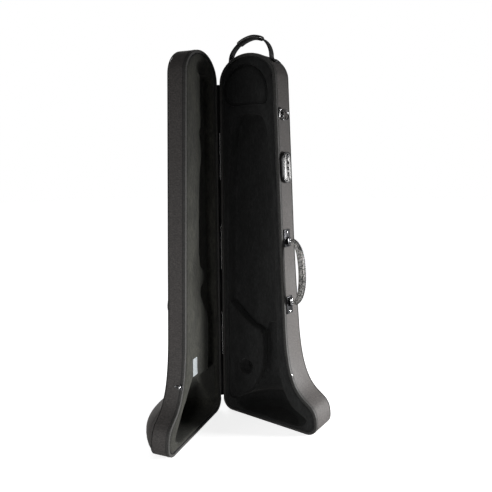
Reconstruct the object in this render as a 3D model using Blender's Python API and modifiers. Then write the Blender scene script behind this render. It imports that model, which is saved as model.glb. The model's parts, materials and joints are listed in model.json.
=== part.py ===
"""A trombone case standing open on its bell end: a deep base and a lid joined by a long hinge,
moulded plush linings, a padded accessory compartment, a mouthpiece block, a zip round the rim
with a combination lock for its pullers, two handles and a strap ring.

Each half is drawn as seen from its open face: w runs from the hinge to the latch side, z runs up,
and depth runs from the parting plane to the back. The outlines of soft parts are drawn by hand on
a pattern grid of squares.
"""

import math

import bmesh
import bpy
from mathutils import Matrix, Vector

# Clearances
GAP = 0.0003
PARTING = 0.0005
SQUARE_SIZE = 0.1
NOTHING = 0.0

# Case outline
HEIGHT = 0.92
HINGE_SIDE = 0.0035
SHOULDER_W = 0.168
SHOULDER_Z = 0.856
WAIST_W = 0.199
WAIST_Z = 0.26
BELL_W = 0.289
BELL_CORNER = 0.028
HINGE_CORNER = 0.03
WAIST_PULL = 0.2274
BELL_PULL = 0.0895

# Case depth
LID_SIDE = 0.047
BASE_SIDE = 0.061
BASE_SWELL = 0.017
SWELL_TOP = 0.5
SWELL_RUN = 0.45
LID_DOME = 0.065
BASE_DOME = 0.042
DOME_PEAK = 0.045
DOME_RISE = 0.062
DOME_ACROSS_SHARE = 0.7
DOME_FOOT_SHARE = 2.5
DOME_RISE_SHARE = 1.1

# Wall, seam and rim
WALL = 0.004
SEAM = 0.005
PIPING_RADIUS = 0.0013
BAND_WIDTH = 0.0065
BAND_DEPTH = 0.0057
ZIP_WIDTH = 0.0026
ZIP_RECESS = 0.0007
LINER_RECESS = 0.0011

# Linings
RECESS_DEPTH = 0.033
THROAT_DEPTH = 0.045
BLOCK_FRONT = 0.006
BLOCK_BACK = 0.0325
BLOCK_SHOULDER = 0.02
BLOCK_POCKET = 0.034
CUP_W = 0.076
CUP_Z = 0.133
CUP_RADIUS = 0.021
CUP_FLOOR_RADIUS = 0.0185
CUP_DEPTH = 0.02
SHANK_RADIUS = 0.008
SHANK_TOP = 0.032
SHANK_DEPTH = 0.064
CHANNEL_DEPTH = 0.025
TOP_CHANNEL_DEPTH = 0.024
SHELF_DEPTH = 0.009
FLARE_W = 0.152
SCOOP_W = 0.072
SCOOP_Z = 0.88
SCOOP_HALF_WIDTH = 0.042
SCOOP_HALF_HEIGHT = 0.02
SCOOP_DEPTH = 0.0085
LABEL_W = 0.152
LABEL_Z = 0.1735
LABEL_WIDTH = 0.022
LABEL_HEIGHT = 0.044
LABEL_THICK = 0.0007

# Accessory compartment
PAD_BACK = 0.0125
PAD_BORDER_DEPTH = 0.0045
PAD_CROWN_DEPTH = 0.0022
PAD_BORDER = 0.004
PAD_CROWN_SHARE = 0.6
PAD_CLEARANCE = 0.0008
COMPARTMENT_DEPTH = 0.046
LEDGE = 0.005
FOLD_RADIUS = 0.0011
FOLD_DEPTH = 0.0034
FOLD_Z = 0.7985
FOLD_START_W = 0.044
FOLD_END_W = 0.132
FOLD_CLEARANCE = 0.0009

# Long hinge
HINGE_BOTTOM = 0.036
HINGE_TOP = 0.854
KNUCKLES = 7
PIN_RADIUS = 0.0012
BARREL_RADIUS = 0.0028
LEAF_THICK = 0.001
LEAF_START = 0.0021
LEAF_END = 0.021
KNUCKLE_CLEARANCE = 0.0006
LID_OPENING = math.radians(76.5)

# Combination lock
LOCK_Z = 0.65
LOCK_AT_DEPTH = 0.0268
LOCK_WIDTH = 0.036
LOCK_HEIGHT = 0.074
LOCK_THICK = 0.0085
LOCK_EDGE = 0.0016
FACE_WIDTH = 0.029
FACE_HEIGHT = 0.067
FACE_THICK = 0.0008
FACE_EDGE = 0.0003
DIAL_RADIUS = 0.0047
DIAL_BORE = 0.0015
DIAL_WIDTH = 0.0075
DIAL_EDGE = 0.0006
DIAL_AXIS = 0.0063
DIAL_MIDDLE = -0.002
DIAL_PITCH = 0.014
BAY_FLOOR = 0.0013
BAY_HALF_WIDTH = 0.0062
BAY_MARGIN = 0.0005
WINDOW_HALF_WIDTH = 0.0045
WINDOW_MARGIN = 0.0005
SHAFT_RADIUS = 0.0012
SHAFT_SEAT = 0.003
BUTTON_Z = 0.0275
BUTTON_RADIUS = 0.0042
BUTTON_BASE = 0.0045
BUTTON_PROUD = 0.0014
BUTTON_FLOOR = 0.0025
SLOT_Z = -0.0275
SLOT_SPREAD = 0.0065
SLOT_WIDTH = 0.003
SLOT_HEIGHT = 0.007
SLOT_FLOOR = 0.003

# Strap ring
RING_Z = 0.773
RING_WIRE = 0.0014
RING_BAR_DEPTH = 0.0195
RING_STANDOFF = 0.0045
RING_HALF_HEIGHT = 0.0112
RING_BEND_DEPTH = 0.033
RING_REACH = 0.0125
TAB_THICK = 0.0016
TAB_START_DEPTH = 0.0085
TAB_HEIGHT = 0.023
TAB_RISE = 0.0055
TAB_EDGE = 0.0005
SLEEVE_RADIUS = 0.0033
SLEEVE_BORE = 0.0018
SLEEVE_LENGTH = 0.012
RING_RIVET_RISE = 0.012
RING_RIVET_DEPTH = 0.0149
RIVET_RADIUS = 0.0042
RIVET_HEIGHT = 0.0016
RIVET_SHANK = 0.0013

# Side handle
SIDE_HANDLE_Z = 0.398
SIDE_HANDLE_DEPTH = 0.0225
MOUNT_REACH = 0.075
MOUNT_THICK = 0.0025
MOUNT_WIDTH = 0.026
MOUNT_INNER = 0.061
MOUNT_OUTER = 0.1045
MOUNT_EDGE = 0.0009
CHEEK_THICK = 0.003
CHEEK_WIDTH = 0.007
CHEEK_TOP = 0.0105
CHEEK_EDGE = 0.0007
BAR_HEIGHT = 0.0075
BAR_RADIUS = 0.0018
EYE_RADIUS = 0.004
EYE_BORE = 0.0021
EYE_LENGTH = 0.0145
NECK_RADIUS = 0.0043
NECK_START = 0.0098
NECK_END = 0.015
GRIP_END_RADIUS = 0.0046
GRIP_MIDDLE_RADIUS = 0.0088
MOUNT_RIVET = 0.0985

# Top handle
TOP_HANDLE_DEPTH = 0.03
STRAP_THICK = 0.0022
STRAP_WIDTH = 0.019
FOOT_LEFT_IN = 0.012
FOOT_RIGHT_IN = 0.0215
FOOT_LENGTH = 0.018
PATCH_LENGTH = 0.0125
PATCH_WIDTH = 0.026
PATCH_THICK = 0.0018
PATCH_SHIFT = 0.0045
PATCH_EDGE = 0.0006
WRAP_HALF_HEIGHT = 0.0056
WRAP_HALF_WIDTH = 0.0122

# Zip slider and end stop
SLIDER_Z = 0.1465
SLIDER_THICK = 0.0034
SLIDER_LIFT = 0.0009
SLIDER_FRONT = 0.001
SLIDER_BACK = 0.0085
SLIDER_LENGTH = 0.0115
SLIDER_EDGE = 0.0007
BRIDGE_HEIGHT = 0.0066
BRIDGE_DEPTH = 0.0058
BRIDGE_RADIUS = 0.0008
LUG_THICK = 0.0016
LUG_SPREAD = 0.0041
LUG_WIDTH = 0.0024
LUG_BASE = 0.0032
PULLER_EYE = 0.0018
PULLER_BORE = 0.0011
PULLER_EYE_LENGTH = 0.0056
PULLER_THICK = 0.0012
PULLER_WIDTH = 0.005
PULLER_START = 0.0014
PULLER_END = 0.0152
PULLER_HOLE = 0.0014
PULLER_HOLE_AT = 0.0122
PULLER_DROOP = math.radians(15)
STOP_Z = 0.143
STOP_DEPTH = 0.0034
STOP_RADIUS = 0.0023
STOP_HEIGHT = 0.0012

# Music pocket
POCKET_LEFT_W = 0.018
POCKET_INSET = 0.011
POCKET_BOTTOM_Z = 0.3
POCKET_TOP_Z = 0.785
POCKET_CORNER = 0.022
POCKET_TOP_THICK = 0.004
POCKET_BOTTOM_THICK = 0.0135
POCKET_SOFT_EDGE = 0.007
POCKET_SHOULDER_SHARE = 0.55

# Roundness
CORNER_STEPS = 2
BOTTOM_STEPS = 5
FLARE_STEPS = 9
SIDE_STEPS = 5
SHOULDER_STEPS = 3
SHOULDER_ANGLE = math.radians(60)
CAVITY_SIDES = 20
ROUND_SIDES = 20
SMALL_SIDES = 12
PIPING_SIDES = 6
REACH = 0.004

# Outlines in squares: w, z and the width of the soft edge at that point
recess_shares = (
    (0.24, 2.95, 0.02), (0.60, 2.68, 0.02), (0.98, 2.42, 0.02), (1.22, 2.36, 0.02),
    (1.73, 2.42, 0.12), (1.70, 3.53, 0.50), (1.65, 4.77, 0.50),
    (1.60, 5.98, 0.46), (1.55, 6.50, 0.42), (1.48, 6.92, 0.36), (1.43, 7.39, 0.28),
    (1.34, 7.67, 0.20), (1.20, 7.77, 0.08), (0.97, 7.82, 0.06), (0.67, 7.79, 0.05),
    (0.50, 7.66, 0.04), (0.39, 7.43, 0.04), (0.36, 6.70, 0.03), (0.29, 6.10, 0.03),
    (0.26, 4.40, 0.03),
)
throat_shares = (
    (1.275, 0.95, 0.08), (1.80, 0.95, 0.08), (1.78, 1.50, 0.12), (1.74, 2.00, 0.12),
    (1.72, 2.58, 0.08), (1.49, 2.63, 0.06), (1.275, 2.58, 0.05),
)
block_shares = (
    (0.22, 0.36, 0.03), (0.46, 0.37, 0.03), (0.72, 0.52, 0.03), (0.97, 0.76, 0.05),
    (1.14, 1.05, 0.12), (1.26, 1.37, 0.20), (1.28, 1.80, 0.24), (1.28, 2.28, 0.24),
    (1.20, 2.43, 0.10), (0.98, 2.46, 0.05), (0.62, 2.72, 0.04), (0.30, 3.00, 0.03),
    (0.22, 3.03, 0.03),
)
channel_shares = (
    (0.26, 1.35, 0.03), (0.79, 1.37, 0.05), (0.73, 2.66, 0.04), (0.79, 2.90, 0.04),
    (0.95, 3.11, 0.04), (1.14, 3.47, 0.04), (1.12, 3.62, 0.04), (0.90, 3.72, 0.04),
    (0.89, 4.02, 0.04), (1.12, 4.12, 0.04), (1.16, 4.56, 0.04), (1.10, 5.75, 0.04),
    (1.04, 6.45, 0.04), (0.95, 6.62, 0.04), (0.95, 7.02, 0.04), (1.03, 7.22, 0.04),
    (1.02, 7.45, 0.04), (0.26, 7.45, 0.04),
)
top_channel_shares = (
    (0.30, 7.38, 0.03), (0.95, 7.38, 0.03), (0.95, 8.58, 0.03), (0.87, 8.70, 0.04),
    (0.38, 8.70, 0.04), (0.30, 8.58, 0.03),
)
shelf_shares = (
    (0.26, 0.36, 0.05), (0.62, 0.30, 0.05), (1.16, 1.08, 0.05), (1.56, 1.46, 0.05),
    (0.81, 1.41, 0.05), (0.26, 1.39, 0.05),
)
pad_shares = (
    (0.40, 8.00), (1.36, 8.00), (1.43, 8.08), (1.44, 8.28), (1.40, 8.50), (1.28, 8.70),
    (1.10, 8.86), (0.89, 8.95), (0.66, 8.94), (0.45, 8.85), (0.28, 8.72), (0.17, 8.54),
    (0.16, 8.32), (0.24, 8.10),
)
# Bell cavity in squares: z, half width and depth
base_flare_shares = (
    (0.13, 0.80, 0.66), (0.20, 0.98, 0.86), (0.28, 1.06, 0.98), (0.36, 1.08, 1.01),
    (0.46, 0.92, 0.99), (0.58, 0.70, 0.84), (0.77, 0.54, 0.62), (1.04, 0.40, 0.52),
    (1.36, 0.31, 0.48), (1.70, 0.26, 0.45),
)
lid_flare_shares = (
    (0.15, 0.78, 0.62), (0.20, 0.92, 0.80), (0.28, 1.01, 0.96), (0.36, 1.01, 1.00),
    (0.46, 0.96, 0.97), (0.63, 0.83, 0.74), (0.86, 0.66, 0.50), (1.09, 0.45, 0.36),
    (1.27, 0.30, 0.26), (1.50, 0.10, 0.12),
)
# Middle line of the side handle in squares: outward and along the wall
grip_shares = (
    (0.153, -0.750), (0.175, -0.750), (0.220, -0.730), (0.280, -0.655), (0.340, -0.520),
    (0.385, -0.290), (0.400, 0.000), (0.385, 0.290), (0.340, 0.520), (0.280, 0.655),
    (0.220, 0.730), (0.175, 0.750), (0.153, 0.750),
)
grip_radius_shares = (0.0, 0.1, 0.3, 0.55, 0.8, 1.0, 1.0, 1.0, 0.8, 0.55, 0.3, 0.1, 0.0)
# Middle line of the top handle strap: share of the way between its feet, and squares above the case
strap_shares = (
    (0.03, -0.08), (0.055, 0.05), (0.12, 0.17), (0.25, 0.30), (0.40, 0.375),
    (0.555, 0.40), (0.705, 0.355), (0.82, 0.265), (0.895, 0.14), (0.935, 0.0),
)
wrap_shares = (
    (0.25, 0.30), (0.40, 0.375), (0.555, 0.40), (0.705, 0.355),
)
# Widths that the outlines are drawn for, in squares
waist_share = 1.99
shoulder_share = 1.68


# Scene set-up
for leftover in list(bpy.data.objects):
    bpy.data.objects.remove(leftover, do_unlink=True)
case_parts = bpy.data.collections.new("trombone_case")
cutters = bpy.data.collections.new("cutters")
bpy.context.scene.collection.children.link(case_parts)
bpy.context.scene.collection.children.link(cutters)


def material(name, colour, roughness, metallic=0.0):
    made = bpy.data.materials.new(name)
    made.use_nodes = True
    shader = made.node_tree.nodes["Principled BSDF"]
    shader.inputs["Base Color"].default_value = (*colour, 1.0)
    shader.inputs["Roughness"].default_value = roughness
    shader.inputs["Metallic"].default_value = metallic
    made.diffuse_color = (*colour, 1.0)
    return made


COVER = material("woven_cover", (0.036, 0.033, 0.034), 0.85)
BAND = material("edge_band_fabric", (0.075, 0.07, 0.072), 0.8)
ZIP = material("zip_teeth", (0.012, 0.012, 0.013), 0.5)
PIPING = material("piping_fabric", (0.06, 0.056, 0.058), 0.7)
BASE_PLUSH = material("base_plush", (0.014, 0.014, 0.014), 0.95)
LID_PLUSH = material("lid_plush", (0.035, 0.035, 0.032), 0.95)
LEATHER = material("leather", (0.016, 0.015, 0.015), 0.35)
WEBBING = material("webbing", (0.018, 0.018, 0.019), 0.8)
CHROME = material("chrome", (0.62, 0.63, 0.65), 0.15, 1.0)
DARK_METAL = material("dark_metal", (0.06, 0.06, 0.065), 0.35, 1.0)
HINGE_METAL = material("hinge_metal", (0.02, 0.02, 0.021), 0.4, 1.0)
PLASTIC = material("black_plastic", (0.015, 0.015, 0.016), 0.35)
TAG = material("tag", (0.78, 0.8, 0.82), 0.6)
POCKET = material("pocket_fabric", (0.03, 0.028, 0.029), 0.85)


# Builders
def finish(obj, look, parent=None, smooth=False, cutter=False):
    (cutters if cutter else case_parts).objects.link(obj)
    if cutter:
        obj.hide_render = True
        obj.display_type = "WIRE"
    elif look is not None:
        obj.data.materials.append(look)
    obj.parent = parent
    if smooth:
        for face in obj.data.polygons:
            face.use_smooth = True
    return obj


def mesh_object(name, points, faces, look, parent=None, smooth=False, cutter=False):
    """A closed body from points and faces, with its faces turned outward."""
    shape = bmesh.new()
    corners = [shape.verts.new(point) for point in points]
    for face in faces:
        shape.faces.new([corners[i] for i in face])
    bmesh.ops.recalc_face_normals(shape, faces=shape.faces)
    if shape.calc_volume(signed=True) < 0:
        bmesh.ops.reverse_faces(shape, faces=shape.faces)
    mesh = bpy.data.meshes.new(name)
    shape.to_mesh(mesh)
    shape.free()
    return finish(bpy.data.objects.new(name, mesh), look, parent, smooth, cutter)


def empty(name, parent=None, location=(0, 0, 0), rotation=(0, 0, 0)):
    made = bpy.data.objects.new(name, None)
    case_parts.objects.link(made)
    made.parent = parent
    made.location = location
    made.rotation_euler = rotation
    return made


def box(name, low, high, look, parent=None, edge=0.0, rotation=(0, 0, 0), cutter=False):
    """A block between two corners, with rounded edges if edge is given."""
    size = Vector(high) - Vector(low)
    shape = bmesh.new()
    bmesh.ops.create_cube(shape, size=1.0)
    bmesh.ops.scale(shape, vec=size, verts=shape.verts)
    mesh = bpy.data.meshes.new(name)
    shape.to_mesh(mesh)
    shape.free()
    made = finish(bpy.data.objects.new(name, mesh), look, parent, False, cutter)
    made.location = (Vector(low) + Vector(high)) / 2
    made.rotation_euler = rotation
    if edge:
        rounding = made.modifiers.new("rounded edges", "BEVEL")
        rounding.width = edge
        rounding.segments = 2
        rounding.limit_method = "ANGLE"
    return made


def turned(name, profile, look, parent=None, location=(0, 0, 0), rotation=(0, 0, 0),
           sides=ROUND_SIDES, closed=False, cutter=False):
    """A turned body: the profile runs down its outer side as radius and height."""
    mesh = bpy.data.meshes.new(name)
    ends = [(i, i + 1) for i in range(len(profile) - 1)]
    if closed:
        ends.append((len(profile) - 1, 0))
    mesh.from_pydata([(radius, 0, height) for radius, height in profile], ends, [])
    made = finish(bpy.data.objects.new(name, mesh), look, parent, False, cutter)
    made.location = location
    made.rotation_euler = rotation
    spin = made.modifiers.new("turning", "SCREW")
    spin.axis = "Z"
    spin.steps = sides
    spin.render_steps = sides
    spin.use_merge_vertices = True
    spin.merge_threshold = 0.00001
    spin.use_smooth_shade = True
    return made


def rod(name, radius, low, high, look, parent=None, location=(0, 0, 0), rotation=(0, 0, 0),
        sides=ROUND_SIDES, cutter=False):
    profile = [(0, high), (radius, high), (radius, low), (0, low)]
    return turned(name, profile, look, parent, location, rotation, sides, False, cutter)


def tube(name, radius, bore, low, high, look, parent=None, location=(0, 0, 0),
         rotation=(0, 0, 0), sides=ROUND_SIDES, cutter=False):
    profile = [(radius, high), (radius, low), (bore, low), (bore, high)]
    return turned(name, profile, look, parent, location, rotation, sides, True, cutter)


def rivet(name, look, parent, location, rotation, shank_length):
    """A domed head with a short shank below it, standing along its own z."""
    profile = [(0, RIVET_HEIGHT), (RIVET_RADIUS * 0.55, RIVET_HEIGHT * 0.88),
               (RIVET_RADIUS * 0.87, RIVET_HEIGHT * 0.5), (RIVET_RADIUS, 0),
               (RIVET_SHANK, 0), (RIVET_SHANK, -shank_length), (0, -shank_length)]
    return turned(name, profile, look, parent, location, rotation, SMALL_SIDES)


def combine(obj, other, operation):
    step = obj.modifiers.new(operation.lower() + " " + other.name, "BOOLEAN")
    step.operation = operation
    step.solver = "EXACT"
    step.object = other
    return obj


def cut(obj, *tools):
    for tool in tools:
        combine(obj, tool, "DIFFERENCE")
    return obj


def join(obj, *others):
    for other in others:
        combine(obj, other, "UNION")
    return obj


# Outline of the case
def arc(centre_w, centre_z, radius_w, radius_z, start, end, steps):
    points = []
    for i in range(steps + 1):
        angle = start + (end - start) * i / steps
        points.append((centre_w + radius_w * math.cos(angle),
                       centre_z + radius_z * math.sin(angle)))
    return points


def line(start, end, steps):
    return [(start[0] + (end[0] - start[0]) * i / steps,
             start[1] + (end[1] - start[1]) * i / steps) for i in range(steps + 1)]


def flare(steps):
    """The latch side from the bell end up to the waist, a single smooth curve."""
    lean = (WAIST_W - SHOULDER_W) / (SHOULDER_Z - WAIST_Z)
    ends = ((WAIST_W, WAIST_Z), (WAIST_W + lean * WAIST_PULL, WAIST_Z - WAIST_PULL),
            (BELL_W, BELL_CORNER + BELL_PULL), (BELL_W, BELL_CORNER))
    points = []
    for i in range(steps, -1, -1):
        t = i / steps
        weights = ((1 - t) ** 3, 3 * (1 - t) ** 2 * t, 3 * (1 - t) * t ** 2, t ** 3)
        points.append(tuple(sum(k * end[axis] for k, end in zip(weights, ends))
                            for axis in (0, 1)))
    return points


TOP_MIDDLE_W = (HINGE_SIDE + SHOULDER_W) / 2
TOP_HALF_WIDTH = (SHOULDER_W - HINGE_SIDE) / 2
TOP_RISE = HEIGHT - SHOULDER_Z
ACROSS = 2 * CORNER_STEPS + BOTTOM_STEPS
UP = CORNER_STEPS + FLARE_STEPS + SIDE_STEPS + SHOULDER_STEPS
TURN = math.pi / 4


def sides_of_outline():
    """The four sides: bottom from the hinge, latch side going up, top from the hinge, hinge
    side going up."""
    hinge_corner = (HINGE_SIDE + HINGE_CORNER, HINGE_CORNER, HINGE_CORNER, HINGE_CORNER)
    bell_corner = (BELL_W - BELL_CORNER, BELL_CORNER, BELL_CORNER, BELL_CORNER)
    crown = (TOP_MIDDLE_W, SHOULDER_Z, TOP_HALF_WIDTH, TOP_RISE)
    bottom = arc(*hinge_corner, 5 * TURN, 6 * TURN, CORNER_STEPS)
    bottom += line((HINGE_SIDE + HINGE_CORNER, 0), (BELL_W - BELL_CORNER, 0), BOTTOM_STEPS)[1:]
    bottom += arc(*bell_corner, 6 * TURN, 7 * TURN, CORNER_STEPS)[1:]
    latch = arc(*bell_corner, 7 * TURN, 8 * TURN, CORNER_STEPS)
    latch += flare(FLARE_STEPS)[1:]
    latch += line((WAIST_W, WAIST_Z), (SHOULDER_W, SHOULDER_Z), SIDE_STEPS)[1:]
    latch += arc(*crown, 0, SHOULDER_ANGLE, SHOULDER_STEPS)[1:]
    top = arc(*crown, math.pi - SHOULDER_ANGLE, SHOULDER_ANGLE, ACROSS)
    hinge = arc(*hinge_corner, 5 * TURN, 4 * TURN, CORNER_STEPS)
    straight = latch[CORNER_STEPS + 1:CORNER_STEPS + FLARE_STEPS + SIDE_STEPS + 1]
    hinge += [(HINGE_SIDE, z) for _, z in straight]
    hinge += arc(*crown, math.pi, math.pi - SHOULDER_ANGLE, SHOULDER_STEPS)[1:]
    return bottom, latch, top, hinge


BOTTOM, LATCH, TOP, HINGE = sides_of_outline()
OUTLINE = BOTTOM + LATCH[1:] + TOP[-2::-1] + HINGE[-2:0:-1]


def left_normals(loop, closed=True):
    """For each point of a loop, the shift that moves both its sides inward by one."""
    found = []
    count = len(loop)
    for i, point in enumerate(loop):
        before = loop[i - 1] if closed or i else loop[1]
        after = loop[(i + 1) % count] if closed or i + 1 < count else loop[-2]
        first = Vector(point) - Vector(before)
        second = Vector(after) - Vector(point)
        if not closed and i == 0:
            first = second
        if not closed and i + 1 == count:
            second = first
        first = Vector((-first.y, first.x)).normalized()
        second = Vector((-second.y, second.x)).normalized()
        found.append((first + second) / (1 + first.dot(second)))
    return found


OUTLINE_NORMALS = left_normals(OUTLINE)


def inset_outline(inset):
    return [(w + n.x * inset, z + n.y * inset)
            for (w, z), n in zip(OUTLINE, OUTLINE_NORMALS)]


def latch_w(z):
    """Where the latch side is at a height."""
    points = BOTTOM[ACROSS - CORNER_STEPS:] + LATCH[1:]
    for (w0, z0), (w1, z1) in zip(points, points[1:]):
        if z0 <= z <= z1 and z1 > z0:
            return w0 + (w1 - w0) * (z - z0) / (z1 - z0)
    return points[0][0] if z < points[0][1] else points[-1][0]


def side_depth(z, side):
    """Depth of the side wall, from the parting plane to the back."""
    if side < 0:
        return LID_SIDE
    share = min(1, max(0, (SWELL_TOP - z) / SWELL_RUN))
    return BASE_SIDE + BASE_SWELL * share * share * (3 - 2 * share)


def dome(w, z, side, inward):
    """How far the bell dome stands behind the back panel."""
    foot = SEAM + inward
    low = HINGE_SIDE + foot
    half = (latch_w(z) - foot - low) / 2
    t = (w - low - half) / half
    across = max(0, 1 - t * t) ** DOME_ACROSS_SHARE
    if z < DOME_PEAK:
        q = min(1, (DOME_PEAK - z) / (DOME_PEAK - foot))
        along = (1 - q ** DOME_FOOT_SHARE) ** (1 / 2)
    else:
        q = min(1, (z - DOME_PEAK) / DOME_RISE)
        along = (1 - q * q) ** DOME_RISE_SHARE
    return (LID_DOME if side < 0 else BASE_DOME) * across * along


class Loft:
    """Points and faces of a body built from loops, at w, depth and z of one half."""

    def __init__(self, side):
        self.side = side
        self.points = []
        self.faces = []

    def add(self, w, depth, z):
        self.points.append((w, self.side * depth, z))
        return len(self.points) - 1

    def loop(self, loop, depth_at):
        return [self.add(w, depth_at(w, z), z) for w, z in loop]

    def bridge(self, a, b):
        for i in range(len(a)):
            j = (i + 1) % len(a)
            self.faces.append((a[i], a[j], b[j], b[i]))

    def cap(self, a):
        self.faces.append(tuple(a))

    def back(self, edge, inset, inward):
        """The back panel and its dome, inside an edge loop that follows the outline."""
        loop = inset_outline(inset)
        columns, rows = ACROSS, UP
        latch_at = columns
        top_at = columns + rows
        hinge_at = 2 * columns + rows

        def bottom(i):
            return i

        def latch(j):
            return latch_at + j

        def top(i):
            return top_at + columns - i

        def hinge(j):
            return (hinge_at + rows - j) % len(loop)

        grid = [[None] * (columns + 1) for _ in range(rows + 1)]
        for i in range(columns + 1):
            grid[0][i] = edge[bottom(i)]
            grid[rows][i] = edge[top(i)]
        for j in range(rows + 1):
            grid[j][0] = edge[hinge(j)]
            grid[j][columns] = edge[latch(j)]
        low, high = loop[latch(0)][1], loop[latch(rows)][1]
        for j in range(1, rows):
            v = (loop[latch(j)][1] - low) / (high - low)
            for i in range(1, columns):
                u = i / columns
                spot = []
                for axis in (0, 1):
                    ends = ((1 - v) * loop[bottom(i)][axis] + v * loop[top(i)][axis]
                            + (1 - u) * loop[hinge(j)][axis] + u * loop[latch(j)][axis])
                    corners = ((1 - u) * (1 - v) * loop[bottom(0)][axis]
                               + u * (1 - v) * loop[bottom(columns)][axis]
                               + (1 - u) * v * loop[top(0)][axis]
                               + u * v * loop[top(columns)][axis])
                    spot.append(ends - corners)
                w, z = spot
                depth = side_depth(z, self.side) - inward + dome(w, z, self.side, inward)
                grid[j][i] = self.add(w, depth, z)
        for j in range(rows):
            for i in range(columns):
                self.faces.append((grid[j][i], grid[j][i + 1],
                                   grid[j + 1][i + 1], grid[j + 1][i]))

    def tray(self, inset, front, inward):
        """A side wall, a sloping corner and a back panel. It returns the front loop."""
        slope = inward * (math.sqrt(2) - 1)
        first = self.loop(inset_outline(inset), lambda w, z: front)
        if inset != inward:
            step = self.loop(inset_outline(inset), lambda w, z: SHELL_FRONT)
            shoulder = self.loop(inset_outline(inward), lambda w, z: SHELL_FRONT)
            self.bridge(first, step)
            self.bridge(step, shoulder)
        else:
            shoulder = first
        corner = self.loop(inset_outline(inward),
                           lambda w, z: side_depth(z, self.side) - SEAM - slope)
        edge = self.loop(inset_outline(SEAM + slope),
                         lambda w, z: side_depth(z, self.side) - inward)
        self.bridge(shoulder, corner)
        self.bridge(corner, edge)
        self.back(edge, SEAM + slope, inward)
        return first


SHELL_FRONT = PARTING + BAND_DEPTH + GAP
ZIP_START = BAND_WIDTH + GAP
LINER_START = ZIP_START + ZIP_WIDTH + GAP
LINER_INWARD = WALL + GAP
LINER_FRONT = PARTING + LINER_RECESS


def shell(name, side, parent):
    body = Loft(side)
    outer = body.tray(NOTHING, SHELL_FRONT, NOTHING)
    inner = body.tray(WALL, SHELL_FRONT, WALL)
    body.bridge(outer, inner)
    return mesh_object(name, body.points, body.faces, COVER, parent)


def liner(name, side, parent, look):
    body = Loft(side)
    body.cap(body.tray(LINER_START, LINER_FRONT, LINER_INWARD))
    return mesh_object(name, body.points, body.faces, look, parent)


def edge_band(name, side, parent):
    """The fabric edge that covers the rim."""
    body = Loft(side)
    back = PARTING + BAND_DEPTH
    rings = [body.loop(inset_outline(NOTHING), lambda w, z: PARTING),
             body.loop(inset_outline(BAND_WIDTH), lambda w, z: PARTING),
             body.loop(inset_outline(BAND_WIDTH), lambda w, z: back),
             body.loop(inset_outline(NOTHING), lambda w, z: back)]
    for a, b in zip(rings, rings[1:] + rings[:1]):
        body.bridge(a, b)
    return mesh_object(name, body.points, body.faces, BAND, parent)


def zip_row(name, side, parent):
    """One row of zip teeth, from the hinge-side corner round the latch side to the crown."""
    start, stop = 1, 2 * ACROSS + UP - 1
    outer = inset_outline(ZIP_START)[start:stop]
    inner = inset_outline(ZIP_START + ZIP_WIDTH)[start:stop]
    front = PARTING + ZIP_RECESS
    back = PARTING + BAND_DEPTH
    body = Loft(side)
    rows = [body.loop(outer, lambda w, z: front), body.loop(inner, lambda w, z: front),
            body.loop(inner, lambda w, z: back), body.loop(outer, lambda w, z: back)]
    for a, b in zip(rows, rows[1:] + rows[:1]):
        for i in range(len(a) - 1):
            body.faces.append((a[i], a[i + 1], b[i + 1], b[i]))
    body.cap([row[0] for row in rows])
    body.cap([row[-1] for row in rows])
    return mesh_object(name, body.points, body.faces, ZIP, parent)


def piping(name, side, parent):
    """The corded seam in the sloping corner at the back edge."""
    middle = (SEAM - (PIPING_RADIUS + GAP) * math.sqrt(2)) / 2
    body = Loft(side)
    rings = []
    for k in range(PIPING_SIDES):
        angle = 2 * math.pi * (k + 1 / 2) / PIPING_SIDES
        inset = middle + PIPING_RADIUS * math.cos(angle)
        sink = middle + PIPING_RADIUS * math.sin(angle)
        rings.append(body.loop(inset_outline(inset),
                               lambda w, z, sink=sink: side_depth(z, side) - sink))
    for a, b in zip(rings, rings[1:] + rings[:1]):
        body.bridge(a, b)
    return mesh_object(name, body.points, body.faces, PIPING, parent, smooth=True)


def pattern_point(w_share, z_share):
    """A point drawn in squares, kept in step with the width of the case at its height."""
    z = z_share * SQUARE_SIZE
    rise = min(1, max(0, (z - WAIST_Z) / (SHOULDER_Z - WAIST_Z)))
    waist_fit = WAIST_W / waist_share
    shoulder_fit = SHOULDER_W / shoulder_share
    return w_share * (waist_fit + (shoulder_fit - waist_fit) * rise), z


def soft_loop(shares, share, grow=0.0):
    """The outline drawn in squares, with its soft edge drawn in by a share."""
    loop = [pattern_point(point[0], point[1]) for point in shares]
    normals = left_normals(loop)
    widths = [point[2] * SQUARE_SIZE if len(point) > 2 else 0 for point in shares]
    return [(w + n.x * (width * share - grow), z + n.y * (width * share - grow))
            for (w, z), n, width in zip(loop, normals, widths)]


def hollow(name, side, parent, shares, depth, steps=4, cutter=True, look=None,
           front=None, back=None, shoulder=None, grow=0.0):
    """A hollow with a rounded floor or, with front and back given, a block with a rounded top."""
    body = Loft(side)
    rings = []
    if front is None:
        rings.append(body.loop(soft_loop(shares, 0), lambda w, z: -REACH))
        wall = depth / 4
        for k in range(steps + 1):
            angle = math.pi / 2 * k / steps
            at = wall + (depth - wall) * math.sin(angle)
            rings.append(body.loop(soft_loop(shares, 1 - math.cos(angle)),
                                   lambda w, z, at=at: at))
    else:
        rings.append(body.loop(soft_loop(shares, 0, grow), lambda w, z: back))
        for k in range(steps + 1):
            angle = math.pi / 2 * k / steps
            at = shoulder - (shoulder - front) * math.sin(angle)
            rings.append(body.loop(soft_loop(shares, 1 - math.cos(angle), grow),
                                   lambda w, z, at=at: at))
    for a, b in zip(rings, rings[1:]):
        body.bridge(a, b)
    body.cap(rings[0])
    body.cap(rings[-1])
    return mesh_object(name, body.points, body.faces, look, parent, True, cutter)


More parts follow.
